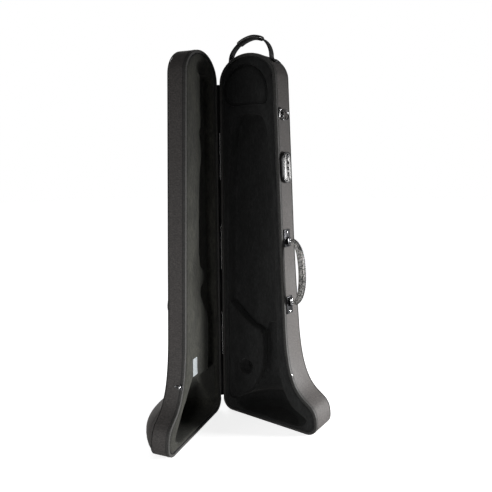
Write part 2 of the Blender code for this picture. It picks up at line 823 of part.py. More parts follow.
def plain_hollow(name, side, parent, loop, depth):
    body = Loft(side)
    front = body.loop(loop, lambda w, z: -REACH)
    floor = body.loop(loop, lambda w, z: depth)
    body.bridge(front, floor)
    body.cap(front)
    body.cap(floor)
    return mesh_object(name, body.points, body.faces, None, parent, False, True)


def bell_hollow(name, side, parent, shares):
    """The room for the bell: an oval at each height."""
    points = []
    faces = []
    for z, half_width, depth in shares:
        for k in range(CAVITY_SIDES):
            angle = 2 * math.pi * k / CAVITY_SIDES
            points.append((FLARE_W + half_width * SQUARE_SIZE * math.cos(angle),
                           side * depth * SQUARE_SIZE * math.sin(angle), z * SQUARE_SIZE))
    for row in range(len(shares) - 1):
        for k in range(CAVITY_SIDES):
            a = row * CAVITY_SIDES + k
            b = row * CAVITY_SIDES + (k + 1) % CAVITY_SIDES
            faces.append((a, b, b + CAVITY_SIDES, a + CAVITY_SIDES))
    faces.append(tuple(range(CAVITY_SIDES)))
    last = (len(shares) - 1) * CAVITY_SIDES
    faces.append(tuple(range(last, last + CAVITY_SIDES)))
    return mesh_object(name, points, faces, None, parent, True, True)


# Frames: the case origin, the base, and the lid on the hinge axis
origin = empty("case_origin")
base = empty("base_frame", origin)
lid = empty("lid_hinge_axis", origin, rotation=(0, 0, -LID_OPENING))
BASE, LID = 1, -1
ALONG_X = (0, math.pi / 2, 0)
ALONG_Y = (-math.pi / 2, 0, 0)

# Shells, rims and seams
shell("base_shell", BASE, base)
shell("lid_shell", LID, lid)
edge_band("base_edge_band", BASE, base)
edge_band("lid_edge_band", LID, lid)
zip_row("base_zip_row", BASE, base)
zip_row("lid_zip_row", LID, lid)
piping("base_piping", BASE, base)
piping("lid_piping", LID, lid)

# Base lining and mouthpiece block
base_liner = liner("base_liner", BASE, base, BASE_PLUSH)
recess = hollow("recess_cutter", BASE, base, recess_shares, RECESS_DEPTH)
throat = hollow("throat_cutter", BASE, base, throat_shares, THROAT_DEPTH, 2)
base_bell = bell_hollow("base_bell_cutter", BASE, base, base_flare_shares)
block_pocket = plain_hollow("block_pocket_cutter", BASE, base,
                            soft_loop(block_shares, 0, GAP), BLOCK_POCKET)
cup_profile = [(0, REACH), (CUP_RADIUS, REACH), (CUP_RADIUS, -BLOCK_FRONT),
               (CUP_FLOOR_RADIUS, -CUP_DEPTH), (SHANK_RADIUS, -SHANK_TOP),
               (SHANK_RADIUS, -SHANK_DEPTH), (0, -SHANK_DEPTH)]
cup = turned("mouthpiece_cutter", cup_profile, None, base, (CUP_W, 0, CUP_Z),
             (math.pi / 2, 0, 0), CAVITY_SIDES, False, True)
block = hollow("mouthpiece_block", BASE, base, block_shares, 0, 3, False, BASE_PLUSH,
               BLOCK_FRONT, BLOCK_BACK, BLOCK_SHOULDER)
cut(block, cup)

# Accessory compartment with its padded lid
pad_loop = [pattern_point(w, z) for w, z in pad_shares]
pad_normals = left_normals(pad_loop)


def pad_ring(inset):
    return [(w + n.x * inset, z + n.y * inset) for (w, z), n in zip(pad_loop, pad_normals)]


seat = plain_hollow("compartment_seat_cutter", BASE, base, pad_ring(-PAD_CLEARANCE),
                    PAD_BACK + GAP)
room = plain_hollow("compartment_room_cutter", BASE, base, pad_ring(LEDGE), COMPARTMENT_DEPTH)
fold_low = (FOLD_START_W - FOLD_CLEARANCE, -REACH, FOLD_Z - FOLD_RADIUS - FOLD_CLEARANCE)
fold_high = (FOLD_END_W + FOLD_CLEARANCE, FOLD_DEPTH + FOLD_RADIUS + GAP,
             FOLD_Z + FOLD_RADIUS + FOLD_CLEARANCE)
fold_seat = box("fold_seat_cutter", fold_low, fold_high, None, base, cutter=True)
cut(base_liner, recess, throat, base_bell, block_pocket, cup, seat, room, fold_seat)

pad_axis = empty("compartment_lid_axis", base, (0, FOLD_DEPTH, FOLD_Z))
pad_middle = [sum(values) / len(pad_loop) for values in zip(*pad_loop)]
crown_ring = [tuple(m + (v - m) * PAD_CROWN_SHARE for v, m in zip(point, pad_middle))
              for point in pad_loop]
pad = Loft(BASE)
pad_rings = [pad.loop(pad_ring(PAD_BORDER / 2), lambda w, z: PAD_BACK),
             pad.loop(pad_ring(0), lambda w, z: PAD_BACK - PAD_BORDER / 2),
             pad.loop(pad_ring(0), lambda w, z: PAD_BORDER_DEPTH + PAD_BORDER / 2),
             pad.loop(pad_ring(PAD_BORDER / 4), lambda w, z: PAD_BORDER_DEPTH),
             pad.loop(pad_ring(PAD_BORDER), lambda w, z: PAD_BORDER_DEPTH),
             pad.loop(crown_ring, lambda w, z: PAD_CROWN_DEPTH)]
for ring_a, ring_b in zip(pad_rings, pad_rings[1:]):
    pad.bridge(ring_a, ring_b)
pad.cap(pad_rings[0])
pad.cap(pad_rings[-1])
pad_points = [(x, y - FOLD_DEPTH, z - FOLD_Z) for x, y, z in pad.points]
mesh_object("compartment_lid", pad_points, pad.faces, BASE_PLUSH, pad_axis, True)
rod("compartment_fold", FOLD_RADIUS, FOLD_START_W, FOLD_END_W, WEBBING, base,
    (0, FOLD_DEPTH, FOLD_Z), ALONG_X, SMALL_SIDES)

# Lid lining and its tag
lid_liner = liner("lid_liner", LID, lid, LID_PLUSH)
channel = hollow("channel_cutter", LID, lid, channel_shares, CHANNEL_DEPTH, 2)
top_channel = hollow("top_channel_cutter", LID, lid, top_channel_shares, TOP_CHANNEL_DEPTH, 2)
shelf = hollow("shelf_cutter", LID, lid, shelf_shares, SHELF_DEPTH, 2)
lid_bell = bell_hollow("lid_bell_cutter", LID, lid, lid_flare_shares)
scoop_shape = bmesh.new()
bmesh.ops.create_uvsphere(scoop_shape, u_segments=CAVITY_SIDES, v_segments=SMALL_SIDES, radius=1)
bmesh.ops.scale(scoop_shape, vec=(SCOOP_HALF_WIDTH, SCOOP_DEPTH, SCOOP_HALF_HEIGHT),
                verts=scoop_shape.verts)
scoop_mesh = bpy.data.meshes.new("scoop_cutter")
scoop_shape.to_mesh(scoop_mesh)
scoop_shape.free()
scoop = finish(bpy.data.objects.new("scoop_cutter", scoop_mesh), None, lid, True, True)
scoop.location = (SCOOP_W, 0, SCOOP_Z)
cut(lid_liner, channel, top_channel, shelf, lid_bell, scoop)
label_front = LINER_FRONT - GAP - LABEL_THICK
box("lid_label", (LABEL_W - LABEL_WIDTH / 2, -label_front - LABEL_THICK,
                  LABEL_Z - LABEL_HEIGHT / 2),
    (LABEL_W + LABEL_WIDTH / 2, -label_front, LABEL_Z + LABEL_HEIGHT / 2), TAG, lid)


# Music pocket on the back of the lid
def pocket_loop(inset):
    left, low, high = POCKET_LEFT_W + inset, POCKET_BOTTOM_Z + inset, POCKET_TOP_Z - inset
    corner = POCKET_CORNER
    right_low = latch_w(low + corner) - POCKET_INSET - inset
    right_high = latch_w(high - corner) - POCKET_INSET - inset
    loop = arc(left + corner, low + corner, corner, corner, 4 * TURN, 6 * TURN, SHOULDER_STEPS)
    loop += arc(right_low - corner, low + corner, corner, corner, 6 * TURN, 8 * TURN,
                SHOULDER_STEPS)
    loop += arc(right_high - corner, high - corner, corner, corner, 0, 2 * TURN, SHOULDER_STEPS)
    loop += arc(left + corner, high - corner, corner, corner, 2 * TURN, 4 * TURN,
                SHOULDER_STEPS)
    return loop


def pocket_thick(z):
    share = (POCKET_TOP_Z - z) / (POCKET_TOP_Z - POCKET_BOTTOM_Z)
    return POCKET_TOP_THICK + (POCKET_BOTTOM_THICK - POCKET_TOP_THICK) * share


pocket = Loft(LID)
pocket_rings = [
    pocket.loop(pocket_loop(0), lambda w, z: LID_SIDE + GAP),
    pocket.loop(pocket_loop(0),
                lambda w, z: LID_SIDE + GAP + pocket_thick(z) * POCKET_SHOULDER_SHARE),
    pocket.loop(pocket_loop(POCKET_SOFT_EDGE), lambda w, z: LID_SIDE + GAP + pocket_thick(z)),
]
pocket.bridge(pocket_rings[0], pocket_rings[1])
pocket.bridge(pocket_rings[1], pocket_rings[2])
pocket.cap(pocket_rings[0])
pocket.cap(pocket_rings[2])
mesh_object("lid_pocket", pocket.points, pocket.faces, POCKET, lid)

# Long hinge: leaves on the outside of both hinge-side walls, knuckles and a pin
span = (HINGE_TOP - HINGE_BOTTOM) / KNUCKLES
leaf_high = HINGE_SIDE - GAP
leaf_low = leaf_high - LEAF_THICK


def hinge_leaf(name, side, parent, first):
    ends = sorted((side * LEAF_START, side * LEAF_END))
    leaf = box(name, (leaf_low, ends[0], HINGE_BOTTOM), (leaf_high, ends[1], HINGE_TOP),
               HINGE_METAL, parent)
    for k in range(first, KNUCKLES, 2):
        low = HINGE_BOTTOM + k * span + KNUCKLE_CLEARANCE / 2
        high = low + span - KNUCKLE_CLEARANCE
        barrel = rod(name + "_barrel_cutter", BARREL_RADIUS, low, high, None, parent,
                     sides=SMALL_SIDES, cutter=True)
        web_ends = sorted((side * 0, side * (LEAF_START + LEAF_THICK)))
        web = box(name + "_web_cutter", (leaf_low - LEAF_THICK / 3, web_ends[0], low),
                  (leaf_high, web_ends[1], high), None, parent, cutter=True)
        join(leaf, web, barrel)
    bore = rod(name + "_bore_cutter", PIN_RADIUS + GAP, HINGE_BOTTOM - REACH,
               HINGE_TOP + REACH, None, parent, sides=SMALL_SIDES, cutter=True)
    return cut(leaf, bore)


hinge_leaf("hinge_leaf_base", BASE, base, 0)
hinge_leaf("hinge_leaf_lid", LID, lid, 1)
rod("hinge_pin", PIN_RADIUS, HINGE_BOTTOM - GAP, HINGE_TOP + GAP, HINGE_METAL, base,
    sides=SMALL_SIDES)

# Places on the latch side: x points out of the wall, y along the depth and z up the wall
LEAN = math.atan((WAIST_W - SHOULDER_W) / (SHOULDER_Z - WAIST_Z))


def wall_place(name, parent, depth, z):
    points = LATCH
    for (w0, z0), (w1, z1) in zip(points, points[1:]):
        if z0 <= z <= z1:
            w = w0 + (w1 - w0) * (z - z0) / (z1 - z0)
            lean = math.atan2(w0 - w1, z1 - z0)
    return empty(name, parent, (w, depth, z), (0, -lean, 0))


# Combination lock
lock = wall_place("lock_place", base, LOCK_AT_DEPTH, LOCK_Z)
lock_body = box("lock_body", (GAP, -LOCK_WIDTH / 2, -LOCK_HEIGHT / 2),
                (GAP + LOCK_THICK, LOCK_WIDTH / 2, LOCK_HEIGHT / 2), PLASTIC, lock, LOCK_EDGE)
face_low = GAP + LOCK_THICK + GAP
face_high = face_low + FACE_THICK
lock_face = box("lock_face", (face_low, -FACE_WIDTH / 2, -FACE_HEIGHT / 2),
                (face_high, FACE_WIDTH / 2, FACE_HEIGHT / 2), CHROME, lock, FACE_EDGE)
dial_reach = DIAL_PITCH + DIAL_WIDTH / 2 + BAY_MARGIN
bay = box("dial_bay_cutter", (BAY_FLOOR, -BAY_HALF_WIDTH, DIAL_MIDDLE - dial_reach),
          (face_high + REACH, BAY_HALF_WIDTH, DIAL_MIDDLE + dial_reach), None, lock, cutter=True)
shaft_bore = rod("shaft_bore_cutter", SHAFT_RADIUS + GAP, -dial_reach - SHAFT_SEAT - GAP,
                 dial_reach + SHAFT_SEAT + GAP, None, lock, (DIAL_AXIS, 0, DIAL_MIDDLE),
                 sides=SMALL_SIDES, cutter=True)
button_bore = rod("button_bore_cutter", BUTTON_RADIUS + GAP, BUTTON_FLOOR, face_high + REACH,
                  None, lock, (0, 0, BUTTON_Z), ALONG_X, cutter=True)
cut(lock_body, bay, shaft_bore, button_bore)
cut(lock_face, button_bore)
for spot, sign in (("left", -1), ("right", 1)):
    slot = box("slot_" + spot + "_cutter",
               (SLOT_FLOOR, sign * SLOT_SPREAD - SLOT_WIDTH / 2, SLOT_Z - SLOT_HEIGHT / 2),
               (face_high + REACH, sign * SLOT_SPREAD + SLOT_WIDTH / 2,
                SLOT_Z + SLOT_HEIGHT / 2), None, lock, cutter=True)
    cut(lock_body, slot)
    cut(lock_face, slot)
for number, step in ((1, -1), (2, 0), (3, 1)):
    middle = DIAL_MIDDLE + step * DIAL_PITCH
    half = DIAL_WIDTH / 2
    dial_axis = empty(f"dial_{number}_axis", lock, (DIAL_AXIS, 0, middle))
    dial_profile = [(DIAL_RADIUS - DIAL_EDGE, half), (DIAL_RADIUS, half - DIAL_EDGE),
                    (DIAL_RADIUS, DIAL_EDGE - half), (DIAL_RADIUS - DIAL_EDGE, -half),
                    (DIAL_BORE, -half), (DIAL_BORE, half)]
    turned(f"lock_dial_{number}", dial_profile, PLASTIC, dial_axis, closed=True)
    window = box(f"window_{number}_cutter",
                 (face_low - REACH / 2, -WINDOW_HALF_WIDTH, middle - half - WINDOW_MARGIN),
                 (face_high + REACH, WINDOW_HALF_WIDTH, middle + half + WINDOW_MARGIN),
                 None, lock, cutter=True)
    cut(lock_face, window)
rod("lock_shaft", SHAFT_RADIUS, -dial_reach - SHAFT_SEAT, dial_reach + SHAFT_SEAT, DARK_METAL,
    lock, (DIAL_AXIS, 0, DIAL_MIDDLE), sides=SMALL_SIDES)
button_axis = empty("lock_button_axis", lock, (0, 0, BUTTON_Z))
rod("lock_button", BUTTON_RADIUS, BUTTON_BASE, face_high + BUTTON_PROUD, DARK_METAL,
    button_axis, rotation=ALONG_X)

# Strap ring on its tab
ring_place = wall_place("ring_place", base, NOTHING, RING_Z)
tab_high = GAP + TAB_THICK
tab = box("ring_tab", (GAP, TAB_START_DEPTH, TAB_RISE - TAB_HEIGHT / 2),
          (tab_high, RING_BAR_DEPTH, TAB_RISE + TAB_HEIGHT / 2), LEATHER, ring_place, TAB_EDGE)
sleeve = rod("ring_sleeve_cutter", SLEEVE_RADIUS, -SLEEVE_LENGTH / 2, SLEEVE_LENGTH / 2, None,
             ring_place, (RING_STANDOFF, RING_BAR_DEPTH, 0), sides=SMALL_SIDES, cutter=True)
sleeve_bore = rod("ring_bore_cutter", SLEEVE_BORE, -SLEEVE_LENGTH, SLEEVE_LENGTH, None,
                  ring_place, (RING_STANDOFF, RING_BAR_DEPTH, 0), sides=SMALL_SIDES,
                  cutter=True)
rivet_bore = rod("ring_rivet_bore_cutter", RIVET_SHANK + GAP, 0, RING_STANDOFF, None,
                 ring_place, (NOTHING, RING_RIVET_DEPTH, RING_RIVET_RISE), ALONG_X,
                 SMALL_SIDES, True)
join(tab, sleeve)
cut(tab, sleeve_bore, rivet_bore)
rivet("ring_rivet", CHROME, ring_place,
      (tab_high + GAP, RING_RIVET_DEPTH, RING_RIVET_RISE), ALONG_X, TAB_THICK)
ring_axis = empty("strap_ring_axis", ring_place, (RING_STANDOFF, RING_BAR_DEPTH, 0))


def swept(name, line_points, thick, look, parent, closed=False, radii=None, round_steps=3):
    """A round bar along a line of points, made a mesh."""
    curve = bpy.data.curves.new(name, "CURVE")
    curve.dimensions = "3D"
    curve.bevel_depth = thick
    curve.bevel_resolution = round_steps
    curve.use_fill_caps = True
    path = curve.splines.new("POLY")
    path.points.add(len(line_points) - 1)
    for i, point in enumerate(line_points):
        path.points[i].co = (*point, 1)
        path.points[i].radius = radii[i] if radii else 1
    path.use_cyclic_u = closed
    guide = bpy.data.objects.new(name + "_guide", curve)
    bpy.context.scene.collection.objects.link(guide)
    graph = bpy.context.evaluated_depsgraph_get()
    mesh = bpy.data.meshes.new_from_object(guide.evaluated_get(graph))
    bpy.data.objects.remove(guide, do_unlink=True)
    shape = bmesh.new()
    shape.from_mesh(mesh)
    bmesh.ops.remove_doubles(shape, verts=shape.verts, dist=0.000001)
    bmesh.ops.recalc_face_normals(shape, faces=shape.faces)
    shape.to_mesh(mesh)
    shape.free()
    mesh.name = name
    return finish(bpy.data.objects.new(name, mesh), look, parent, True)


bend = RING_BEND_DEPTH - RING_BAR_DEPTH
ring_line = [(0, 0, -RING_HALF_HEIGHT)]
ring_line += [(0, y, z) for y, z in arc(bend, 0, RING_REACH, RING_HALF_HEIGHT,
                                        -2 * TURN, 2 * TURN, SMALL_SIDES)]
ring_line += [(0, 0, RING_HALF_HEIGHT)]
swept("strap_ring", ring_line, RING_WIRE, CHROME, ring_axis, True, round_steps=2)

# Side handle: a mount at each end, an end cap on each bar and the leather grip
side_place = wall_place("side_handle_place", base, SIDE_HANDLE_DEPTH, SIDE_HANDLE_Z)
side_axis = empty("side_handle_axis", side_place, (BAR_HEIGHT, 0, 0))
for spot, sign in (("lower", -1), ("upper", 1)):
    ends = sorted((sign * MOUNT_INNER, sign * MOUNT_OUTER))
    mount = box("side_mount_" + spot, (GAP, -MOUNT_WIDTH / 2, ends[0]),
                (GAP + MOUNT_THICK, MOUNT_WIDTH / 2, ends[1]), DARK_METAL, side_place,
                MOUNT_EDGE)
    for tag, step in (("a", -1), ("b", 1)):
        cheek_middle = sign * MOUNT_REACH + step * (EYE_LENGTH / 2 + GAP + CHEEK_THICK / 2)
        cheek = box(f"cheek_{spot}_{tag}_cutter",
                    (GAP + MOUNT_THICK / 2, -CHEEK_WIDTH / 2, cheek_middle - CHEEK_THICK / 2),
                    (CHEEK_TOP, CHEEK_WIDTH / 2, cheek_middle + CHEEK_THICK / 2), None,
                    side_place, CHEEK_EDGE, cutter=True)
        join(mount, cheek)
    bar_reach = EYE_LENGTH / 2 + GAP + CHEEK_THICK / 2
    bar = rod(f"bar_{spot}_cutter", BAR_RADIUS, -bar_reach, bar_reach, None, side_place,
              (BAR_HEIGHT, 0, sign * MOUNT_REACH), sides=SMALL_SIDES, cutter=True)
    join(mount, bar)
    hole = rod(f"mount_rivet_bore_{spot}_cutter", RIVET_SHANK + GAP, 0, CHEEK_TOP, None,
               side_place, (NOTHING, NOTHING, sign * MOUNT_RIVET), ALONG_X, SMALL_SIDES, True)
    cut(mount, hole)
    rivet("side_rivet_" + spot, CHROME, side_place,
          (GAP + MOUNT_THICK + GAP, 0, sign * MOUNT_RIVET), ALONG_X, MOUNT_THICK)
    cap = rod("side_handle_end_" + spot, EYE_RADIUS, -EYE_LENGTH / 2, EYE_LENGTH / 2, CHROME,
              side_axis, (0, 0, sign * MOUNT_REACH), sides=SMALL_SIDES)
    neck = rod(f"neck_{spot}_cutter", NECK_RADIUS, NECK_START - BAR_HEIGHT,
               NECK_END - BAR_HEIGHT, None, side_axis, (0, 0, sign * MOUNT_REACH), ALONG_X,
               SMALL_SIDES, True)
    eye_bore = rod(f"eye_bore_{spot}_cutter", EYE_BORE, -EYE_LENGTH, EYE_LENGTH, None,
                   side_axis, (0, 0, sign * MOUNT_REACH), sides=SMALL_SIDES, cutter=True)
    join(cap, neck)
    cut(cap, eye_bore)
grip_line = [(x * SQUARE_SIZE - BAR_HEIGHT, 0, z * SQUARE_SIZE) for x, z in grip_shares]
grip_radii = [(GRIP_END_RADIUS + (GRIP_MIDDLE_RADIUS - GRIP_END_RADIUS) * share)
              / GRIP_MIDDLE_RADIUS for share in grip_radius_shares]
swept("side_handle_grip", grip_line, GRIP_MIDDLE_RADIUS, LEATHER, side_axis, False, grip_radii)


# Top handle: a strap with sewn feet, a wrap round its middle, a patch over each foot
FOOT_LEFT_W = HINGE_SIDE + FOOT_LEFT_IN
FOOT_RIGHT_W = SHOULDER_W - FOOT_RIGHT_IN


def strap_point(across, rise):
    return (FOOT_LEFT_W + (FOOT_RIGHT_W - FOOT_LEFT_W) * across, HEIGHT + rise * SQUARE_SIZE)


def crown_place(w):
    """A point on the crown with its outward direction."""
    share = (w - TOP_MIDDLE_W) / TOP_HALF_WIDTH
    rise = math.sqrt(1 - share * share)
    outward = Vector((share / TOP_HALF_WIDTH, rise / TOP_RISE)).normalized()
    return Vector((w, SHOULDER_Z + TOP_RISE * rise)), outward


def foot_line(w, sign):
    """The foot's middle line, from its outer end to where the strap rises."""
    spot, outward = crown_place(w)
    middle = spot + outward * (GAP + STRAP_THICK / 2)
    inward = Vector((outward.y, -outward.x)) * sign
    return middle - inward * FOOT_LENGTH / 2, middle + inward * FOOT_LENGTH / 2, inward, outward


def ribbon(name, points, thick, width, look, parent, cutter=False):
    normals = left_normals(points, False)
    shape = []
    for depth in (TOP_HANDLE_DEPTH - width / 2, TOP_HANDLE_DEPTH + width / 2):
        for sign in (1, -1):
            shape += [(w + n.x * sign * thick / 2, depth, z + n.y * sign * thick / 2)
                      for (w, z), n in zip(points, normals)]
    count = len(points)
    faces = []
    for i in range(count - 1):
        corners = [k * count + i for k in (0, 1, 3, 2)]
        for a, b in zip(corners, corners[1:] + corners[:1]):
            faces.append((a, a + 1, b + 1, b))
    faces.append((0, count, 3 * count, 2 * count))
    faces.append((count - 1, 2 * count - 1, 4 * count - 1, 3 * count - 1))
    return mesh_object(name, shape, faces, look, parent, False, cutter)


left_end, left_rise, left_along, left_out = foot_line(FOOT_LEFT_W, 1)
right_end, right_rise, right_along, right_out = foot_line(FOOT_RIGHT_W, -1)
strap_line = [tuple(left_end), tuple(left_rise)]
strap_line += [strap_point(across, rise) for across, rise in strap_shares]
strap_line += [tuple(right_rise), tuple(right_end)]
ribbon("top_handle_strap", strap_line, STRAP_THICK, STRAP_WIDTH, WEBBING, base)
wrap_line = []
for across, rise in wrap_shares:
    w, z = strap_point(across, rise)
    wrap_line.append((w, 0, z))
wrap = swept("top_handle_wrap", wrap_line, WRAP_HALF_HEIGHT, LEATHER, base)
wrap.data.transform(Matrix.Diagonal((1, WRAP_HALF_WIDTH / WRAP_HALF_HEIGHT, 1, 1)))
wrap.location = (0, TOP_HANDLE_DEPTH, 0)
strap_room = ribbon("strap_room_cutter", strap_line, STRAP_THICK + 2 * GAP,
                    STRAP_WIDTH + 2 * GAP, None, base, True)
cut(wrap, strap_room)
for spot, foot, along, outward in (("left", left_end, left_along, left_out),
                                   ("right", right_end, right_along, right_out)):
    lift = STRAP_THICK / 2 + GAP + PATCH_THICK / 2
    at = foot + along * PATCH_SHIFT + outward * lift
    tilt = math.atan2(outward.x, outward.y)
    half_size = Vector((PATCH_LENGTH, PATCH_WIDTH, PATCH_THICK)) / 2
    middle = Vector((at.x, TOP_HANDLE_DEPTH, at.y))
    patch = box("top_patch_" + spot, middle - half_size, middle + half_size, LEATHER, base,
                PATCH_EDGE, (0, tilt, 0))
    head = middle + Vector((outward.x, 0, outward.y)) * (PATCH_THICK / 2 + GAP)
    hole = rod(f"patch_bore_{spot}_cutter", RIVET_SHANK + GAP, -PATCH_THICK - REACH, REACH,
               None, base, head, (0, tilt, 0), SMALL_SIDES, True)
    cut(patch, hole)
    rivet("top_rivet_" + spot, CHROME, base, head, (0, tilt, 0), PATCH_THICK)

# Zip slider with its puller on the lid, end stop on the base
slider_place = wall_place("zip_slider_place", lid, NOTHING, SLIDER_Z)
slider = box("zip_slider", (SLIDER_LIFT, -SLIDER_BACK, -SLIDER_LENGTH / 2),
             (SLIDER_LIFT + SLIDER_THICK, -SLIDER_FRONT, SLIDER_LENGTH / 2), DARK_METAL, slider_place,
             SLIDER_EDGE)
for spot, sign in (("a", -1), ("b", 1)):
    lug = box(f"lug_{spot}_cutter",
              (LUG_BASE, -BRIDGE_DEPTH - LUG_WIDTH / 2, sign * LUG_SPREAD - LUG_THICK / 2),
              (BRIDGE_HEIGHT + LUG_WIDTH / 2, -BRIDGE_DEPTH + LUG_WIDTH / 2,
               sign * LUG_SPREAD + LUG_THICK / 2), None, slider_place, cutter=True)
    join(slider, lug)
bridge = rod("bridge_cutter", BRIDGE_RADIUS, -LUG_SPREAD, LUG_SPREAD, None, slider_place,
             (BRIDGE_HEIGHT, -BRIDGE_DEPTH, 0), sides=SMALL_SIDES, cutter=True)
join(slider, bridge)
puller_axis = empty("zip_puller_axis", slider_place, (BRIDGE_HEIGHT, -BRIDGE_DEPTH, 0),
                    (0, 0, -PULLER_DROOP))
puller = box("zip_puller", (-PULLER_THICK / 2, -PULLER_END, -PULLER_WIDTH / 2),
             (PULLER_THICK / 2, -PULLER_START, PULLER_WIDTH / 2), CHROME, puller_axis)
eye = rod("puller_eye_cutter", PULLER_EYE, -PULLER_EYE_LENGTH / 2, PULLER_EYE_LENGTH / 2, None,
          puller_axis, sides=SMALL_SIDES, cutter=True)
eye_hole = rod("puller_bore_cutter", PULLER_BORE, -PULLER_WIDTH, PULLER_WIDTH, None,
               puller_axis, sides=SMALL_SIDES, cutter=True)
finger_hole = rod("puller_hole_cutter", PULLER_HOLE, -REACH, REACH, None, puller_axis,
                  (0, -PULLER_HOLE_AT, 0), ALONG_X, SMALL_SIDES, True)
join(puller, eye)
cut(puller, eye_hole, finger_hole)
stop_place = wall_place("zip_stop_place", base, STOP_DEPTH, STOP_Z)
rod("zip_end_stop", STOP_RADIUS, GAP, GAP + STOP_HEIGHT, CHROME, stop_place, (0, 0, 0),
    ALONG_X, SMALL_SIDES)

# Origin: the middle of the case's footprint, on the ground
bpy.context.view_layer.update()
evaluation = bpy.context.evaluated_depsgraph_get()
corners = []
for obj in case_parts.objects:
    if obj.type != "EMPTY":
        made = obj.evaluated_get(evaluation)
        corners += [made.matrix_world @ vertex.co for vertex in made.data.vertices]
lows = [min(corner[axis] for corner in corners) for axis in range(3)]
highs = [max(corner[axis] for corner in corners) for axis in range(3)]
origin.location = (-(lows[0] + highs[0]) / 2, -(lows[1] + highs[1]) / 2, -lows[2])
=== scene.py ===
import json
import math

import bmesh
import bpy
import numpy as np
from mathutils import Matrix, Vector


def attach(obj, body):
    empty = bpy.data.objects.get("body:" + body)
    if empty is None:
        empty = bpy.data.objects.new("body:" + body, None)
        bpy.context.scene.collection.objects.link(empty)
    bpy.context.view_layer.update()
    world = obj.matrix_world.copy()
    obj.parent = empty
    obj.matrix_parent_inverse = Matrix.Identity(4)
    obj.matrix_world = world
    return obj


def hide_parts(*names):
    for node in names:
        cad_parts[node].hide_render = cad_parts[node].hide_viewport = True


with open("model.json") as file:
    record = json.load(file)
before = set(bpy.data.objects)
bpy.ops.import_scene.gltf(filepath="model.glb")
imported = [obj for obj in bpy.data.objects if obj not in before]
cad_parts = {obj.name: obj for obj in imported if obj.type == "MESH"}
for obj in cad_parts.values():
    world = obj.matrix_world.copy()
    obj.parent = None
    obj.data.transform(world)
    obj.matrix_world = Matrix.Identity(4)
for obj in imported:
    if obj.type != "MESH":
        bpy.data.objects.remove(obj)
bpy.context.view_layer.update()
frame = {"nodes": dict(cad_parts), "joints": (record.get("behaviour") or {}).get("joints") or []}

bl_info = {
    "name": "Open trombone case",
    "version": (1, 0, 0),
    "blender": (4, 5, 0),
    "location": "View3D > Sidebar > Trombone case",
    "description": "Dresses an open trombone case: woven cover, plush linings, zip and hardware",
    "category": "Object",
}

# Where the frame stands
JOINTS = {joint["name"]: joint for joint in frame["joints"]}
HINGE_X, HINGE_Y, _ = JOINTS["lid_hinge"]["pos_m"]
LID_OPENING = math.radians(76.5)
BASE, LID = 1, -1
BODY = {BASE: "base", LID: "lid"}
SIDE_NAME = {BASE: "base", LID: "lid"}

# Sizes of the case, in metres
GAP = 0.0003
PARTING = 0.0005
SQUARE = 0.1
HEIGHT = 0.92
HINGE_SIDE = 0.0035
SHOULDER_W, SHOULDER_Z = 0.168, 0.856
WAIST_W, WAIST_Z = 0.199, 0.26
BELL_W = 0.289
BELL_CORNER = 0.028
HINGE_CORNER = 0.03
WAIST_PULL, BELL_PULL = 0.2274, 0.0895
LID_SIDE = 0.047
BASE_SIDE, BASE_SWELL = 0.061, 0.017
SWELL_TOP, SWELL_RUN = 0.5, 0.45
LID_DOME, BASE_DOME = 0.065, 0.042
DOME_PEAK, DOME_RISE = 0.045, 0.062
DOME_ACROSS, DOME_FOOT, DOME_RISE_POWER = 0.7, 2.5, 1.1
WALL = 0.004
SEAM = 0.005
PIPING_RADIUS = 0.0013
BAND_WIDTH, BAND_DEPTH = 0.0065, 0.0057
ZIP_WIDTH = 0.0026
LINER_RECESS = 0.0011
SHELL_FRONT = PARTING + BAND_DEPTH + GAP
ZIP_START = BAND_WIDTH + GAP
LINER_START = ZIP_START + ZIP_WIDTH + GAP
LINER_INWARD = WALL + GAP
LINER_FRONT = PARTING + LINER_RECESS
FLARE_W = 0.152
TOP_MIDDLE_W = (HINGE_SIDE + SHOULDER_W) / 2
TOP_HALF_WIDTH = (SHOULDER_W - HINGE_SIDE) / 2
TOP_RISE = HEIGHT - SHOULDER_Z
SHOULDER_ANGLE = math.radians(60)
TURN = math.pi / 4

# Steps along the smooth outline
CORNER_STEPS, BOTTOM_STEPS = 8, 24
FLARE_STEPS, SIDE_STEPS, SHOULDER_STEPS = 36, 40, 10
ACROSS = 2 * CORNER_STEPS + BOTTOM_STEPS
UP = CORNER_STEPS + FLARE_STEPS + SIDE_STEPS + SHOULDER_STEPS

# Hollows and the block of the linings in squares: w, z and the width of the soft edge
RECESS = (
    (0.24, 2.95, 0.02), (0.60, 2.68, 0.02), (0.98, 2.42, 0.02), (1.22, 2.36, 0.02),
    (1.73, 2.42, 0.12), (1.70, 3.53, 0.50), (1.65, 4.77, 0.50),
    (1.60, 5.98, 0.46), (1.55, 6.50, 0.42), (1.48, 6.92, 0.36), (1.43, 7.39, 0.28),
    (1.34, 7.67, 0.20), (1.20, 7.77, 0.08), (0.97, 7.82, 0.06), (0.67, 7.79, 0.05),
    (0.50, 7.66, 0.04), (0.39, 7.43, 0.04), (0.36, 6.70, 0.03), (0.29, 6.10, 0.03),
    (0.26, 4.40, 0.03),
)
THROAT = (
    (1.275, 0.95, 0.08), (1.80, 0.95, 0.08), (1.78, 1.50, 0.12), (1.74, 2.00, 0.12),
    (1.72, 2.58, 0.08), (1.49, 2.63, 0.06), (1.275, 2.58, 0.05),
)
